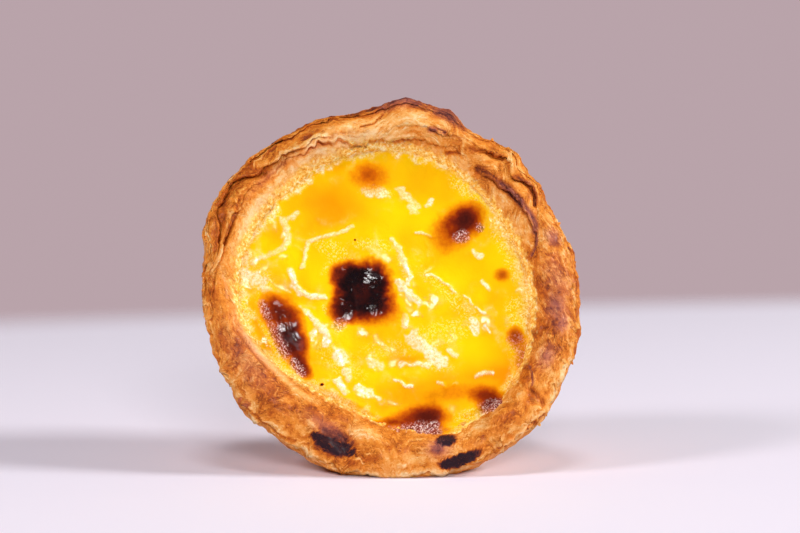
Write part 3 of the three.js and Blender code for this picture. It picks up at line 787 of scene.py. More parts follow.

# folds and dried films of the skin, the films pale partly as dried cream and partly as painted highlight:
# points in mm, then half-width, height and how creamy they are
SKIN_FOLDS = [
    [(-8.8, 13.8), (-11.8, 11.9), (-14.2, 11.5), (-17.8, 10.2), (-18.3, 7.5), (-18.8, 4.8),
     0.42, 0.55, 0.55],
    [(-20.3, 15.9), (-22.6, 15.0), (-21.8, 11.2), (-22.4, 9.0), 0.7, 0.4, 0.5],
    [(-22.4, 9.0), (-25.2, 7.5), (-29.2, 6.0), 0.55, 0.35, 0.45],
    [(-21.4, 3.6), (-20.4, 1.4), (-19.2, -0.5), 0.85, 0.45, 0.95],
    [(-19.2, -0.5), (-16.6, -1.6), (-14.0, -1.5), 0.35, 0.45, 0.65],
    [(-19.6, -4.0), (-17.0, -5.6), (-14.2, -9.0), (-13.5, -11.6), 0.7, 0.5, 0.8],
    [(-16.2, -8.6), (-16.6, -10.6), 0.6, 0.3, 0.75],
    [(-1.0, 10.8), (1.0, 8.2), (2.0, 4.8), 0.55, 0.4, 0.6],
    [(2.0, 4.8), (3.2, 2.6), (2.5, 1.0), 0.4, 0.45, 0.75],
    [(0.6, 1.6), (1.6, 0.0), (4.4, -2.8), 0.8, 0.45, 0.85],
    [(2.0, -6.0), (1.6, -7.4), 0.7, 0.35, 0.8],
    [(3.4, -9.9), (8.6, -14.9), 1.5, 0.35, 0.95],
    [(1.2, -15.4), (6.6, -15.8), 0.45, 0.4, 0.7],
    [(-11.4, -13.2), (-10.4, -14.8), 1.2, 0.35, 0.9],
    [(-9.8, -16.8), (-9.4, -18.6), 0.8, 0.3, 0.65],
    [(-4.8, -14.8), (-3.4, -15.8), 1.0, 0.3, 0.6],
    [(-11.6, -19.0), (-10.2, -21.2), 0.7, 0.35, 0.7],
    [(-7.6, -20.6), (-5.0, -21.6), (-3.6, -22.6), 0.7, 0.35, 0.75],
    [(15.6, -6.6), (16.0, -8.4), 0.95, 0.3, 0.95],
    [(10.6, -13.2), (12.0, -13.8), 0.5, 0.3, 0.7],
    [(-5.6, 21.2), (-2.6, 20.6), 1.15, 0.5, 1.0],
    [(1.2, 21.6), (3.4, 19.0), (3.9, 16.8), 0.9, 0.3, 0.5],
    [(-29.8, 3.2), (-26.8, 1.2), (-24.4, -1.4), 1.2, 0.35, 0.75],
    [(4.2, 11.9), (6.0, 12.0), (8.0, 11.5), 0.26, 0.42, 0.8],
    [(6.4, 3.3), (9.0, 2.0), (12.2, -0.5), 0.26, 0.42, 0.65],
    [(14.0, -1.2), (15.6, -3.0), 0.22, 0.4, 0.9],
    [(16.2, -3.8), (17.8, -4.9), 0.26, 0.4, 0.9],
    [(17.8, -7.0), (18.6, -8.8), 0.26, 0.4, 0.8],
    [(15.8, -17.9), (17.8, -17.2), (19.6, -17.5), 0.26, 0.4, 0.9],
    [(8.4, -19.3), (10.2, -20.6), (12.0, -19.8), 0.26, 0.4, 0.85],
    [(0.0, -18.8), (1.8, -20.0), (3.0, -20.1), 0.3, 0.4, 0.8],
    [(6.6, 18.0), (7.6, 19.4), 0.45, 0.35, 0.85],
    [(17.6, 1.6), (19.0, 0.2), 0.45, 0.35, 0.9],
    [(15.8, 8.0), (17.0, 7.2), 0.5, 0.3, 0.75],
    [(-14.8, -22.6), (-10.2, -25.4), (-4.6, -27.8), 0.7, 0.3, 0.6],
    [(-22.6, -5.9), (-21.4, -8.8), (-19.8, -11.4), 0.3, 0.6, 0.0],
    [(-8.6, 0.4), (-8.2, -2.6), (-7.9, -5.4), 0.25, 0.35, 0.0],
    [(-12.6, -1.9), (-11.2, -2.9), 0.4, 0.35, 0.0],
    [(-5.2, -4.2), (-4.2, -4.2), (-4.4, -5.4), 0.35, 0.35, 0.0],
    [(-5.4, 1.0), (-4.2, 1.6), 0.35, 0.35, 0.0],
]

# grainy patches of dried froth, their pale specks painted sparkle: x, y, half-length, half-width, degrees,
# strength
FROTH_SPARKLE_PATCHES = [
    (-12.2, 8.0, 5.5, 2.0, -35, 0.5), (12.4, -2.4, 7.5, 1.7, -42, 0.5), (11.5, -8.0, 5.0, 2.2, 0, 0.4),
    (24.0, 6.5, 8.5, 2.0, 108, 0.55), (24.5, -5.5, 4.5, 2.6, 90, 0.6), (25.2, -14.8, 4.2, 2.4, 115, 0.6),
    (-27.5, 2.0, 3.6, 2.4, -40, 0.6), (15.5, -26.0, 5.0, 1.4, 10, 0.7), (-15.5, -21.0, 8.5, 1.4, -44, 0.6),
    (-3.6, 20.9, 3.6, 1.0, 0, 0.9), (-24.6, -10.5, 6.2, 1.0, 120, 0.9), (5.6, -28.6, 4.8, 0.8, 3, 0.9),
    (13.4, 11.8, 1.6, 0.8, 20, 0.9), (18.6, -24.4, 2.2, 1.0, 5, 0.9), (17.4, 14.6, 1.0, 0.9, 0, 0.8),
    (-13.6, -4.4, 1.4, 0.7, 120, 0.9), (-11.4, -8.6, 1.3, 1.0, 90, 0.7), (-1.0, 1.8, 0.6, 1.2, 90, 0.8),
    (-12.5, 5.8, 3.6, 1.2, 48, 0.4), (-4.5, 9.4, 4.6, 1.3, -8, 0.5), (2.0, 4.5, 3.6, 1.1, -68, 0.4),
    (8.0, -10.0, 5.0, 2.6, -10, 0.35), (-11.0, -15.0, 6.0, 3.0, -38, 0.3), (-1.0, -12.0, 5.5, 2.0, 0, 0.3),
    (8.0, -16.0, 4.0, 1.4, -8, 0.35), (-26.5, 0.5, 2.4, 5.0, 12, 0.6), (15.0, 21.0, 5.0, 1.9, -42, 0.7),
    (22.4, 10.6, 5.5, 2.4, 112, 0.7), (9.0, 1.0, 6.0, 1.4, -35, 0.4),
]

# froth that dried dark at the scorched blisters, its pink-white specks painted glints: x, y, half-length,
# half-width, degrees, strength
SCORCHED_FROTH_GLINTS = [
    (-26.0, -4.6, 2.4, 1.0, 110, 0.6), (-24.2, -8.8, 2.6, 1.0, 116, 0.7),
    (-22.4, -12.4, 2.4, 1.2, 122, 0.8), (-19.8, -15.8, 2.2, 1.1, 128, 0.8), (4.6, -29.4, 5.2, 2.0, 2, 1.0),
    (19.2, -24.8, 3.0, 1.8, 8, 1.0), (-11.2, -7.4, 1.6, 1.2, 20, 0.6), (13.4, 11.2, 1.8, 1.2, 15, 0.9),
    (17.2, 13.4, 0.9, 0.9, 0, 0.8), (-4.2, 21.0, 3.0, 1.2, -4, 0.2), (24.2, -11.2, 1.6, 2.4, 80, 0.2),
    (25.4, -15.2, 3.0, 1.5, 102, 0.36),
]

# warmer, oranger custard: x, y, half-length, half-width, degrees, strength
WARM_PATCHES = [
    (-14, 20, 11, 5, 30, 0.65), (-12, 15.5, 6, 3, 25, 0.5), (10, -21.0, 13, 3.5, 10, 1.0),
    (3.5, -14.8, 3.6, 1.2, 0, 0.6), (-25, -3, 4, 3, 100, 0.5), (-26, -9, 2.2, 6, 25, 0.8),
    (-19.5, -20.5, 5, 1.6, -44, 0.7), (21, -17, 5, 4, 60, 0.5), (10, 24, 10, 4, -30, 0.12),
    (-19, 1, 3, 3, 0, 0.3),
]

# where the skin stayed taut and smooth: x, y, half-width, half-height
TAUT_PLACES = [
    (-11, 19, 12, 6), (12, 22, 9, 6), (4, 26, 7, 4), (17, 4, 5, 5), (8, -20, 11, 3), (16, -15, 5, 4),
    (-16, 5, 3, 4), (4, 14, 5, 3), (9, 9, 4, 2),
]

turn = np.linspace(0, TURN, CUSTARD_SEGMENTS, endpoint=False)[:, None]
skin = Grain(23)
edge = custard_radius(turn) + CUSTARD_CLING + 2.6 * bump_at(turn, 281, 13) + 1.3 * bump_at(turn, 305, 11)
edge = edge + EDGE_RAGGED * skin.layered(9 * np.cos(turn), 9 * np.sin(turn), 0, gain=0.7)
top_r = edge * (1 - np.linspace(0, 1, CUSTARD_RINGS)[None, :] ** 0.95)
x, y = top_r * np.cos(turn), top_r * np.sin(turn)
from_edge = edge - top_r


def mottling(size, seed, octaves=2, gain=0.5):
    """Noise over the skin from -1 to 1, with lumps of a size in mm."""
    return skin.layered(x / size, y / size, seed, octaves=octaves, gain=gain)


def oval_distance(oval, squareness=2):
    """1 on the outline of an oval given as centre, half-length, half-width and degrees, less inside."""
    cx, cy, long, wide, direction = oval
    c, s = np.cos(np.radians(direction)), np.sin(np.radians(direction))
    u, v = ((x - cx) * c + (y - cy) * s) / long, ((y - cy) * c - (x - cx) * s) / wide
    return (np.abs(u) ** squareness + np.abs(v) ** squareness) ** (1 / squareness)


def soft_patches(table, rough, inner, outer, most=1.0):
    """The strongest of a table's ovals at each point, fading between two distances."""
    found = np.zeros_like(x)
    for *oval, strength in table:
        far = oval_distance(oval) + rough * ragged
        found = np.maximum(found, most * strength * (1 - smoothstep(far, inner, outer)))
    return found


level = CUSTARD_LEVEL + CUSTARD_RISE + 0 * x
for tall, length, direction, shift in BILLOWS:
    along = x * np.cos(np.radians(direction)) + y * np.sin(np.radians(direction))
    level = level + BILLOW_RISE * tall * np.sin(TURN * (along / length + shift))

ragged = mottling(2.4, 1.5, octaves=3, gain=0.6)
scorch = np.zeros_like(x)
for *oval, tall, squareness, darkness, softness in BLISTERS:
    far = oval_distance(oval, squareness)
    level = level + tall * np.exp(-(far**4) * np.log(2))
    shade = 1 - smoothstep(far + 0.08 * ragged, 0.92 - 0.6 * softness, 1.12 + 0.42 * softness)
    scorch = 1 - (1 - scorch) * (1 - darkness * shade)
scorch = scorch * (1 - 0.12 * np.clip(ragged, 0, 1))
charred = smoothstep(scorch, 0.6, 0.9)
lumps = 0.05 + 0.15 * np.exp(-((x - BLISTER_MIDDLE) ** 2 + y**2) / 60)
level = level + lumps * charred * mottling(2.3, 33, gain=0.35)

cream = np.zeros_like(x)
wander_x = x + 0.45 * mottling(1.6, 4.4, octaves=1)
wander_y = y + 0.45 * mottling(1.6, 8.8, octaves=1)
torn_skin = mottling(1.5, 60)
for *path, half_width, tall, creamy_highlight in SKIN_FOLDS:
    far = path_distance(wander_x, wander_y, path) / half_width
    level = level + FOLD_RISE * tall * np.exp(-0.8 * far**2)
    # each film is painted pale, partly dried cream and partly painted highlight
    film = 0.95 - 0.95 * smoothstep(far + 0.7 * torn_skin * min(1, half_width / 0.5), 0.7, 1.15)
    cream = np.maximum(cream, min(1, 1.25 * creamy_highlight) * film)

# froth: the dark one at the blisters with painted glints, the pale patches with painted sparkle, and the ring
# along the pastry
foam = soft_patches(SCORCHED_FROTH_GLINTS, 0.3, 0.6, 1.3)
froth = soft_patches(FROTH_SPARKLE_PATCHES, 0.25, 0.5, 1.25, most=0.7)
THICK_RING = [(1, 110, 50), (1, 165, 18), (1, 45, 22), (1, 300, 14)]
froth_ring = 0.35 + 0.75 * np.clip(bumps(THICK_RING, turn), 0, 1)
ring_width = 1.6 + 1.3 * skin.at(4.2 * np.cos(turn), 4.2 * np.sin(turn), 0) + 0.9 * ragged
froth = np.maximum(froth, froth_ring * (1 - smoothstep(from_edge, 0.6 * ring_width, 1.5 * ring_width)))

# fine wrinkles where the skin dried, none where it stayed taut and smooth
taut = sum(np.exp(-(((x - cx) / rx) ** 2 + ((y - cy) / ry) ** 2)) for cx, cy, rx, ry in TAUT_PLACES)
taut = np.clip(taut, 0, 1)
bend_x = x + 1.5 * mottling(5, 7, octaves=1)
bend_y = y + 1.5 * mottling(5, 11, octaves=1)
crease = (1 - np.abs(skin.at(bend_x / 3.8, bend_y / 3.8, 2))) ** 6
dried = smoothstep(mottling(8, 30, octaves=1), -0.3, 0.3) * (1 - taut)
level = level + 0.08 * crease * dried
heave = mottling(4.0, 13, gain=0.3)
level = level + (0.02 + 0.15 * (1 - taut)) * heave
grains = np.abs(mottling(0.5, 21, octaves=1)) + 0.6 * np.abs(mottling(0.3, 5, octaves=1))
level = level + 0.1 * grains * np.clip(froth + 0.06 * cream, 0, 1) + 0.16 * grains * foam

# crumbs of dried cream in the ring of froth, and pale crests along the creases, partly painted highlight
crumbly = smoothstep(mottling(1.2, 77, octaves=3, gain=0.6), -0.05, 0.25)
crumbs = (0.5 + 0.35 * bump_at(turn, 113, 16)) * crumbly * froth_ring * smoothstep(from_edge, 0.3, 0.7)
cream = np.maximum(cream, crumbs * (1 - smoothstep(from_edge, ring_width, ring_width + 0.8)))
cream = np.clip(cream + 0.25 * crease * dried * smoothstep(ragged, -0.2, 0.5), 0, 1)
cream = cream * (1 - smoothstep(scorch, 0.1, 0.5))

# the film at the edge follows the pastry wall; the sides and the bottom are sunk in the cup
wall_from = custard_radius(turn)
wall_share = np.clip((top_r - wall_from) / (lip_radius(turn) - wall_from), 0, 1)
film_level = rim_point(turn, wall_share)[1] + FILM_THICKNESS + 0.22 * mottling(1.3, 70)
film_level = film_level + 0.08 * grains * froth - 0.6 * smoothstep(top_r, edge - 1.5, edge)
level = lerp(level, film_level, smoothstep(top_r, wall_from - 1.0, wall_from + 0.15))
sunk_r = np.concatenate([np.array([0, WALL_FOOT_RADIUS - 1.6, WALL_FOOT_RADIUS + 0.7]) + 0 * edge,
                         edge - np.array([2.2, 0.9])], 1)
sunk_z = np.array([FLOOR_THICKNESS + GAP, FLOOR_THICKNESS + GAP, FLOOR_THICKNESS + WALL_BEND,
                   CUSTARD_LEVEL - WALL_BEND, CUSTARD_LEVEL - 0.9]) + 0 * edge
custard_r = np.concatenate([sunk_r, top_r], 1)
custard = closed_lathe("custard", around(turn, custard_r, np.concatenate([sunk_z, level], 1)))

# the custard is painted oranger in the hollows of its swells and paler on its rises, painted shade; the rest
# of its warmth is its own tone
raised = 0.25 * (level - CUSTARD_LEVEL - CUSTARD_RISE) * (1 - smoothstep(top_r, edge - 3, edge - 1))
warmth = 0.12 - 0.2 * (1 - 0.5 * taut) * heave - raised
warmth = warmth + 0.1 * smoothstep(top_r / edge, 0.6, 0.95) + 0.5 * smoothstep(top_r, edge - 1.0, edge)
warmth = warmth + 0.1 * mottling(7, 50)
for *oval, strength in WARM_PATCHES:
    warmth = warmth + strength * np.exp(-(oval_distance(oval) ** 2))

# how far the custard has taken the look of the pastry it clings to
crust_reach = 2.2 + 1.9 * bump_at(turn, 0, 34) + 0.8 * bump_at(turn, 45, 20) + 0.7 * bump_at(turn, 115, 30)
crusted = smoothstep(top_r + 0.9 * ragged, edge - crust_reach, edge - 0.3)
crusted = np.maximum(crusted, smoothstep(top_r, edge - 0.8, edge - 0.2)) * (1 - charred)
bubbling = np.clip(froth - 0.12, 0, 1) * (1 - 0.6 * charred) * smoothstep(from_edge, 0.6, 1.2)
bubbling = bubbling * smoothstep(mottling(1.4, 90), -0.35, 0.3)
for name, values in {"scorch": scorch, "warmth": np.clip(warmth, 0, 1), "froth": froth, "cream": cream,
                     "taut": taut, "foam": foam, "crusted": crusted, "bubbling": bubbling}.items():
    carry(custard, name, np.concatenate([values[:, :1] + 0 * sunk_r, values], 1))

CUSTARD_YELLOW = (0.93, 0.60, 0.0)
CUSTARD_ORANGE = (0.96, 0.36, 0.0)
# the films' pale cream, which also serves as their painted highlight
CREAM_AND_HIGHLIGHT = (1.0, 0.94, 0.64)
# the froth's colours; the palest stops are painted sparkle
FROTH_SPARKLE_COLOURS = [
    (0.4, (0.92, 0.52, 0.0)), (0.5, (0.95, 0.62, 0.0)), (0.55, (1.0, 0.74, 0.05)),
    (0.62, (1.0, 0.88, 0.36)),
]
# the scorched froth's colours; the pink-white stops are painted glints
FOAM_GLINT_COLOURS = [
    (0.4, (0.10, 0.020, 0.018)), (0.49, (0.36, 0.085, 0.06)), (0.55, (0.74, 0.36, 0.29)),
    (0.6, (1.0, 0.88, 0.84)),
]
RING_COLOURS = [
    (0.3, (0.64, 0.20, 0.012)), (0.44, (0.92, 0.44, 0.04)), (0.54, (1.0, 0.66, 0.14)),
    (0.64, (1.0, 0.88, 0.52)),
]
SCORCH_COLOURS = [
    (0.0, CUSTARD_YELLOW), (0.2, (0.90, 0.36, 0.0)), (0.4, (0.62, 0.13, 0.0)), (0.56, (0.30, 0.030, 0.001)),
    (0.72, (0.12, 0.010, 0.003)), (0.86, (0.035, 0.004, 0.003)), (1.0, (0.006, 0.002, 0.003)),
]
filling, tree, shader = surface("baked_custard")
place = add_node("ShaderNodeTexCoord").outputs["Object"]
grit = noise(place, 2500, 2, 0.7)
spark = noise(place, 4200, 2, 0.6)
fleck = noise(place, 1600, 3, 0.6)
crumb = noise(place, 2300, 3, 0.7)
grainy = noise(place, 190, 3)
near_scorch = remap(stored("scorch"), 0.0, 0.15)
burnt = plus(stored("scorch"), times(remap(fleck, 0.0, 1.0, -0.09, 0.09), near_scorch))
yellow = mix_colours(stored("warmth"), (*CUSTARD_YELLOW, 1), (*CUSTARD_ORANGE, 1))
# pale specks of froth, painted sparkle
frothy_sparkle = mix_colours(remap(stored("froth"), 0.0, 0.6, 0.0, 0.9), yellow, colour_ramp(grit, FROTH_SPARKLE_COLOURS))
edged = mix_colours(stored("crusted"), frothy_sparkle, colour_ramp(crumb, RING_COLOURS))
patchy = times(remap(fleck, 0.38, 0.56, 0.45, 1.0), remap(grit, 0.4, 0.52, 0.5, 1.0))
# the films in their pale cream, partly painted highlight
creamy_highlight = mix_colours(times(stored("cream"), patchy), edged, (*CREAM_AND_HIGHLIGHT, 1))
scorched = mix_colours(remap(burnt, 0.02, 0.2), creamy_highlight, colour_ramp(burnt, SCORCH_COLOURS))
# pink-white specks on the scorched froth, painted glints
foam_glints = times(stored("foam"), remap(crumb, 0.35, 0.6, 0.35, 1.0))
skin_colour = mix_colours(foam_glints, scorched, colour_ramp(grit, FOAM_GLINT_COLOURS))

bare = remap(stored("cream"), 0.0, 0.5, 1.0, 0.15)
pores = plus(remap(grainy, 0.5, 0.6, 0.0, 0.06), times(stored("froth"), bare))
pores = plus(times(pores, remap(stored("scorch"), 0.3, 0.6, 1.0, 0.25)), stored("foam"))
skin_relief = relief_of([(grit, remap(pores, 0, 1, 0.03, 0.8), 0.0003), (fleck, 0.2, 0.0003),
                         (noise(place, 420, 2), 0.05, 0.0008)])

# how wet it shines: on the taut skin hardly, on the films well, on scorches only where they are black
wet = times(remap(grainy, 0.49, 0.55), remap(stored("froth"), 0.1, 0.5, 1.0, 0.3))
wet = times(plus(wet, stored("cream")), remap(stored("taut"), 0.06, 0.22, 1.0, 0.0))
by_scorch = maths("MAXIMUM", remap(stored("scorch"), 0.0, 0.12, 1.0, 0.0),
                  remap(stored("scorch"), 0.5, 0.7, 0.0, 0.8))
for share_of_it in (remap(spark, 0.36, 0.5, 0.4, 1.0), by_scorch, remap(stored("crusted"), 0, 1, 1.0, 0.12)):
    wet = times(wet, share_of_it)
wet = times(wet, remap(wet, 0.1, 0.3))
fill(shader, {
    "Base Color": skin_colour, "Normal": skin_relief, "Roughness": 0.6, "Specular IOR Level": 0.04,
    "Coat Weight": wet, "Coat Normal": skin_relief, "Coat IOR": 1.7, "Coat Roughness": 0.05,
    "Subsurface Weight": remap(stored("crusted"), 0.0, 0.5, 0.15, 0.0),
    "Subsurface Radius": (1.0, 0.5, 0.05), "Subsurface Scale": 0.001,
})
custard.data.materials.append(filling)

# ======== Dried froth ========
# Bubbles that rose in the egg mix while it was poured and dried on the skin. They lie thickest along the
# pastry and beside the scorched blisters, and take the colour of the skin below them.


def growth_tree(name, sizes):
    """A tree of nodes that grows one piece on another, with its named inputs."""
    grown = bpy.data.node_groups.new(name, "GeometryNodeTree")
    inputs = {"Geometry": ("Geometry", None), **sizes, "Finish": ("Material", None)}
    for label, (kind, value) in inputs.items():
        socket = grown.interface.new_socket(label, in_out="INPUT", socket_type="NodeSocket" + kind)
        if value is not None:
            socket.default_value = value
    grown.interface.new_socket("Geometry", in_out="OUTPUT", socket_type="NodeSocketGeometry")
    return grown


def named(name):
    values = add_node("GeometryNodeInputNamedAttribute", {"Name": name}, data_type="FLOAT")
    return values.outputs["Attribute"]


def random_between(low, high):
    limits = {2: low, 3: high, "Seed": given["Seed"]}
    return add_node("FunctionNodeRandomValue", limits, data_type="FLOAT").outputs[1]


def real(instances):
    return add_node("GeometryNodeRealizeInstances", {"Geometry": instances}).outputs[0]


def give_finish(geometry):
    """Ends the tree with its geometry in its finish."""
    finished = {"Geometry": geometry, "Material": given["Finish"]}
    add_node("NodeGroupOutput", {"Geometry": add_node("GeometryNodeSetMaterial", finished).outputs[0]})


tree = growth_tree("froth_bubbles", {
    "Bubbles per square metre": ("Float", 1.4e7), "Least distance": ("Float", 0.0002),
    "Smallest": ("Float", 0.00005), "Largest": ("Float", 0.00016), "Flatness": ("Float", 0.55),
    "Seed": ("Int", 7),
})
given = add_node("NodeGroupInput").outputs
spots = add_node("GeometryNodeDistributePointsOnFaces", {
    "Mesh": given["Geometry"], "Distance Min": given["Least distance"],
    "Density Max": given["Bubbles per square metre"], "Seed": given["Seed"],
    "Density Factor": maths("MINIMUM", named("bubbling"), 1.0)}, distribute_method="POISSON").outputs
bubbles = spots["Points"]
# many bubbles take the pale cream, partly as painted highlight
for name, value in {"cream": random_between(-1.0, 0.6), "taut": 1.0, "crusted": 0.7, "froth": 0.6}.items():
    kept = {"Geometry": bubbles, "Name": name, "Value": value}
    bubbles = add_node("GeometryNodeStoreNamedAttribute", kept, data_type="FLOAT").outputs[0]
ball = add_node("GeometryNodeMeshIcoSphere", {"Radius": 1.0, "Subdivisions": 1}).outputs["Mesh"]
radius = random_between(given["Smallest"], given["Largest"])
flat_ball = {"X": radius, "Y": radius, "Z": times(radius, given["Flatness"])}
placed = add_node("GeometryNodeInstanceOnPoints", {
    "Points": bubbles, "Instance": ball, "Rotation": spots["Rotation"],
    "Scale": add_node("ShaderNodeCombineXYZ", flat_ball).outputs[0]}).outputs["Instances"]
give_finish(add_node("GeometryNodeSetShadeSmooth", {"Geometry": real(placed)}).outputs[0])


def grown_on(carrier, name, node_tree, settings):
    """A new piece from what a node tree grows on another piece."""
    seedbed = bpy.data.objects.new(name, carrier.data)
    bpy.context.scene.collection.objects.link(seedbed)
    growth = seedbed.modifiers.new("growth", "NODES")
    growth.node_group = node_tree
    for item in node_tree.interface.items_tree:
        if item.in_out == "INPUT" and item.name in settings:
            growth[item.identifier] = settings[item.name]
    evaluated = seedbed.evaluated_get(bpy.context.evaluated_depsgraph_get())
    seedbed.data = bpy.data.meshes.new_from_object(evaluated)
    seedbed.modifiers.remove(growth)
    return seedbed


froth_piece = grown_on(custard, "dried_froth", tree, {"Finish": filling})
for piece in (custard, froth_piece):
    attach(piece, "root")
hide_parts("custard_filling")

# ======== Flakes ========
# Thin chips of baked pastry that came loose along the torn layers and stuck where they lifted, thickest at
# the upper left and along the lip.
CHIP_SIDES = 9
CHIP_HALF_THICKNESS = 0.07
chip_rng = np.random.default_rng(19)
around_chip = np.linspace(0, TURN, CHIP_SIDES, endpoint=False)
chip_edge = np.stack([1.5 * np.cos(around_chip), 0.75 * np.sin(around_chip)], -1)
chip_edge = chip_edge * chip_rng.uniform(0.6, 1.15, (CHIP_SIDES, 1))
chip_points = [(px, py, 0.22 * px**2 + side)
               for side in (CHIP_HALF_THICKNESS, -CHIP_HALF_THICKNESS) for px, py in chip_edge]
chip_points += [(0, 0, 0.12), (0, 0, -0.12)]
chip_faces = []
for i in range(CHIP_SIDES):
    j = (i + 1) % CHIP_SIDES
    chip_faces += [(i, j, 2 * CHIP_SIDES), (j + CHIP_SIDES, i + CHIP_SIDES, 2 * CHIP_SIDES + 1),
                   (j, i, i + CHIP_SIDES, j + CHIP_SIDES)]
chip_mesh = bpy.data.meshes.new("pastry_chip")
chip_mesh.from_pydata(chip_points, [], chip_faces)
chip = bpy.data.objects.new("pastry_chip", chip_mesh)

tree = growth_tree("pastry_flakes", {
    "Chip": ("Object", None), "Chips per square metre": ("Float", 2e5), "Smallest": ("Float", 0.0002),
    "Largest": ("Float", 0.0007), "Tilt": ("Float", 0.35), "Seed": ("Int", 31),
})
given = add_node("NodeGroupInput").outputs
spots = add_node("GeometryNodeDistributePointsOnFaces", {
    "Mesh": given["Geometry"], "Density": times(named("flaking"), given["Chips per square metre"]),
    "Seed": given["Seed"]}, distribute_method="RANDOM").outputs
steep = times(given["Tilt"], -1.0)
low_turn = add_node("ShaderNodeCombineXYZ", {"X": steep, "Y": steep, "Z": -np.pi}).outputs[0]
high_turn = add_node("ShaderNodeCombineXYZ", {"X": given["Tilt"], "Y": given["Tilt"], "Z": np.pi}).outputs[0]
turned = add_node("FunctionNodeRandomValue", {0: low_turn, 1: high_turn, "Seed": given["Seed"]},
                  data_type="FLOAT_VECTOR").outputs[0]
lying = add_node("FunctionNodeRotateRotation", {"Rotation": spots["Rotation"], "Rotate By": turned},
                 rotation_space="LOCAL").outputs[0]
placed = add_node("GeometryNodeInstanceOnPoints", {
    "Points": spots["Points"], "Rotation": lying,
    "Scale": random_between(given["Smallest"], given["Largest"]),
    "Instance": add_node("GeometryNodeObjectInfo", {"Object": given["Chip"]}).outputs["Geometry"]})
give_finish(real(placed.outputs["Instances"]))

# loose chips lie on the torn layers and along the lip, and none where the tart touches the table
FRAYED = [(1, 180, 26), (1, 350, 34), (1, 312, 12)]
frayed = np.clip(bumps(FRAYED, angle), 0, 1) * smoothstep(share, 0.8, 0.9)
flaking = (0.1 + 0.9 * opened) * (1 - smoothstep(share, 0.86, 0.94))
flaking = flaking + 3 * frayed * (1 - smoothstep(share, 0.95, 1.0))
flaking = whole(flaking * smoothstep(share, 0.3, 0.5))
off_table = smoothstep(stand_up(crust_form)[..., 2] / MM, 0.8, 2.0)
carry(crust, "flaking", flaking * off_table * np.maximum(layer_rim, 0.7 * skin_edge))
flakes = grown_on(crust, "pastry_flakes", tree, {"Chip": chip, "Finish": pastry})
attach(flakes, "root")

# ======== Table, light and camera ========
# A pale lilac table whose far part fades into the wall, soft boxes above and at both sides, and a long lens
# a little above the table.
TABLE_COLOUR = (0.89, 0.83, 0.945)
TABLE_RADIUS = 0.8
TABLE_MIDDLE = (0.074, 0.018, 0)
TABLE_TURN = np.radians(14)
TABLE_LENGTH = 2.5  # how many times longer the table is from side to side than from front to back
TABLE_EDGE = 0.279
TABLE_BLUR = 0.042

bpy.ops.mesh.primitive_circle_add(vertices=128, radius=TABLE_RADIUS, fill_type="NGON")
table = bpy.context.object
table.name = "table"
top_material, tree, shader = surface("table_top")
fill(shader, {"Base Color": (*TABLE_COLOUR, 1), "Roughness": 0.7, "Specular IOR Level": 0.1})
outline = {"Vector": add_node("ShaderNodeTexCoord").outputs["Object"], "Location": TABLE_MIDDLE,
           "Rotation": (0, 0, TABLE_TURN), "Scale": (TABLE_LENGTH, 1, 1)}
across = add_node("ShaderNodeMapping", outline, vector_type="TEXTURE").outputs[0]
reach = add_node("ShaderNodeVectorMath", {0: across}, operation="LENGTH").outputs["Value"]
away = remap(reach, TABLE_EDGE - TABLE_BLUR, TABLE_EDGE + TABLE_BLUR, interpolation_type="SMOOTHSTEP")
gone = add_node("ShaderNodeBsdfTransparent").outputs[0]
blend = add_node("ShaderNodeMixShader", {0: away, 1: shader.outputs[0], 2: gone}).outputs[0]
fill(tree.nodes["Material Output"], {"Surface": blend})
table.data.materials.append(top_material)

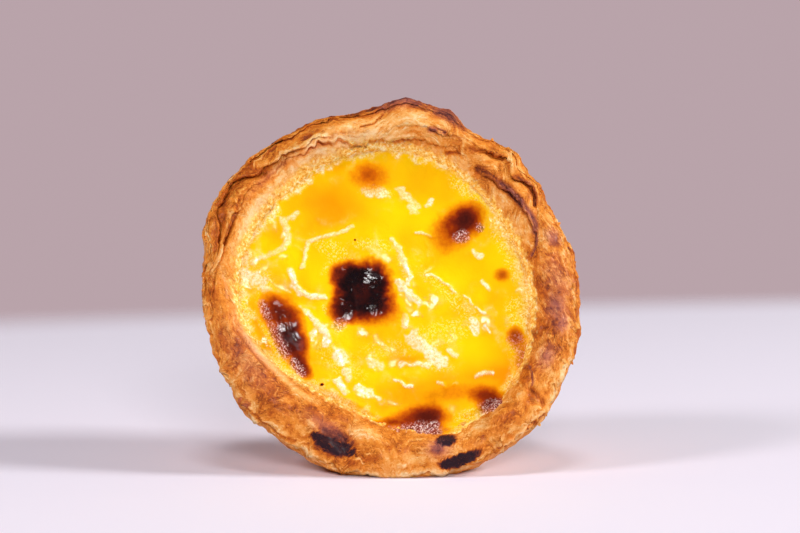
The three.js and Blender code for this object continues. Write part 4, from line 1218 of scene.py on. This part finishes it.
# the room: pale walls all round, lit near the height of the table and dim higher up
WALL_COLOUR = (0.485, 0.368, 0.402)
DIM_ROOM = (0.02, 0.017, 0.018)
scene = bpy.context.scene
world = bpy.data.worlds.new("studio")
world.use_nodes = True
tree = world.node_tree
looking = add_node("ShaderNodeTexCoord").outputs["Generated"]
upwards = add_node("ShaderNodeSeparateXYZ", {0: looking}).outputs["Z"]
high = remap(upwards, 0.1, 0.22, interpolation_type="SMOOTHSTEP")
fill(tree.nodes["Background"], {"Color": mix_colours(high, (*WALL_COLOUR, 1), (*DIM_ROOM, 1))})
scene.world = world
scene.view_settings.view_transform = "Standard"

LAMP_DISTANCE = 1.5
LAMP_AIM = 0.035  # the height above the table that the soft boxes look at


def soft_box(name, azimuth, elevation, size, power, tint):
    """A soft box that looks at the tart; azimuth counts from the front, to the right."""
    lamp = bpy.data.lights.new(name, "AREA")
    lamp.shape = "RECTANGLE"
    lamp.size, lamp.size_y = size
    lamp.energy = power
    lamp.color = tint
    holder = bpy.data.objects.new(name, lamp)
    a, e = np.radians(azimuth), np.radians(elevation)
    level_part = LAMP_DISTANCE * np.cos(e)
    holder.location = (level_part * np.sin(a), -level_part * np.cos(a), LAMP_AIM + LAMP_DISTANCE * np.sin(e))
    holder.rotation_euler = (np.pi / 2 - e, 0, a)
    scene.collection.objects.link(holder)


soft_box("lamp_right", 86, 32, (0.4, 0.4), 16.6, (0.98, 1, 0.985))
soft_box("lamp_left", -62, 36, (0.38, 0.38), 8.2, (1, 0.955, 0.965))
soft_box("lamp_front", 8, 24, (0.5, 0.3), 9.8, (1, 0.98, 0.975))
soft_box("lamp_above", 0, 80, (0.34, 0.34), 4.6, (1, 0.99, 0.98))

CAMERA_PLACE = (0, -0.453, 0.0782)
CAMERA_AIM = (0.00168, -0.015, 0.0406)
camera = bpy.data.cameras.new("camera")
camera.lens = 100
camera.sensor_width = 36
camera.clip_start = 0.01
viewpoint = bpy.data.objects.new("camera", camera)
viewpoint.location = CAMERA_PLACE
sight = np.array(CAMERA_AIM) - np.array(CAMERA_PLACE)
tilt_up = np.arctan2(sight[2], np.hypot(*sight[:2]))
viewpoint.rotation_euler = (np.pi / 2 + tilt_up, 0, -np.arctan2(sight[0], sight[1]))
scene.collection.objects.link(viewpoint)
scene.camera = viewpoint
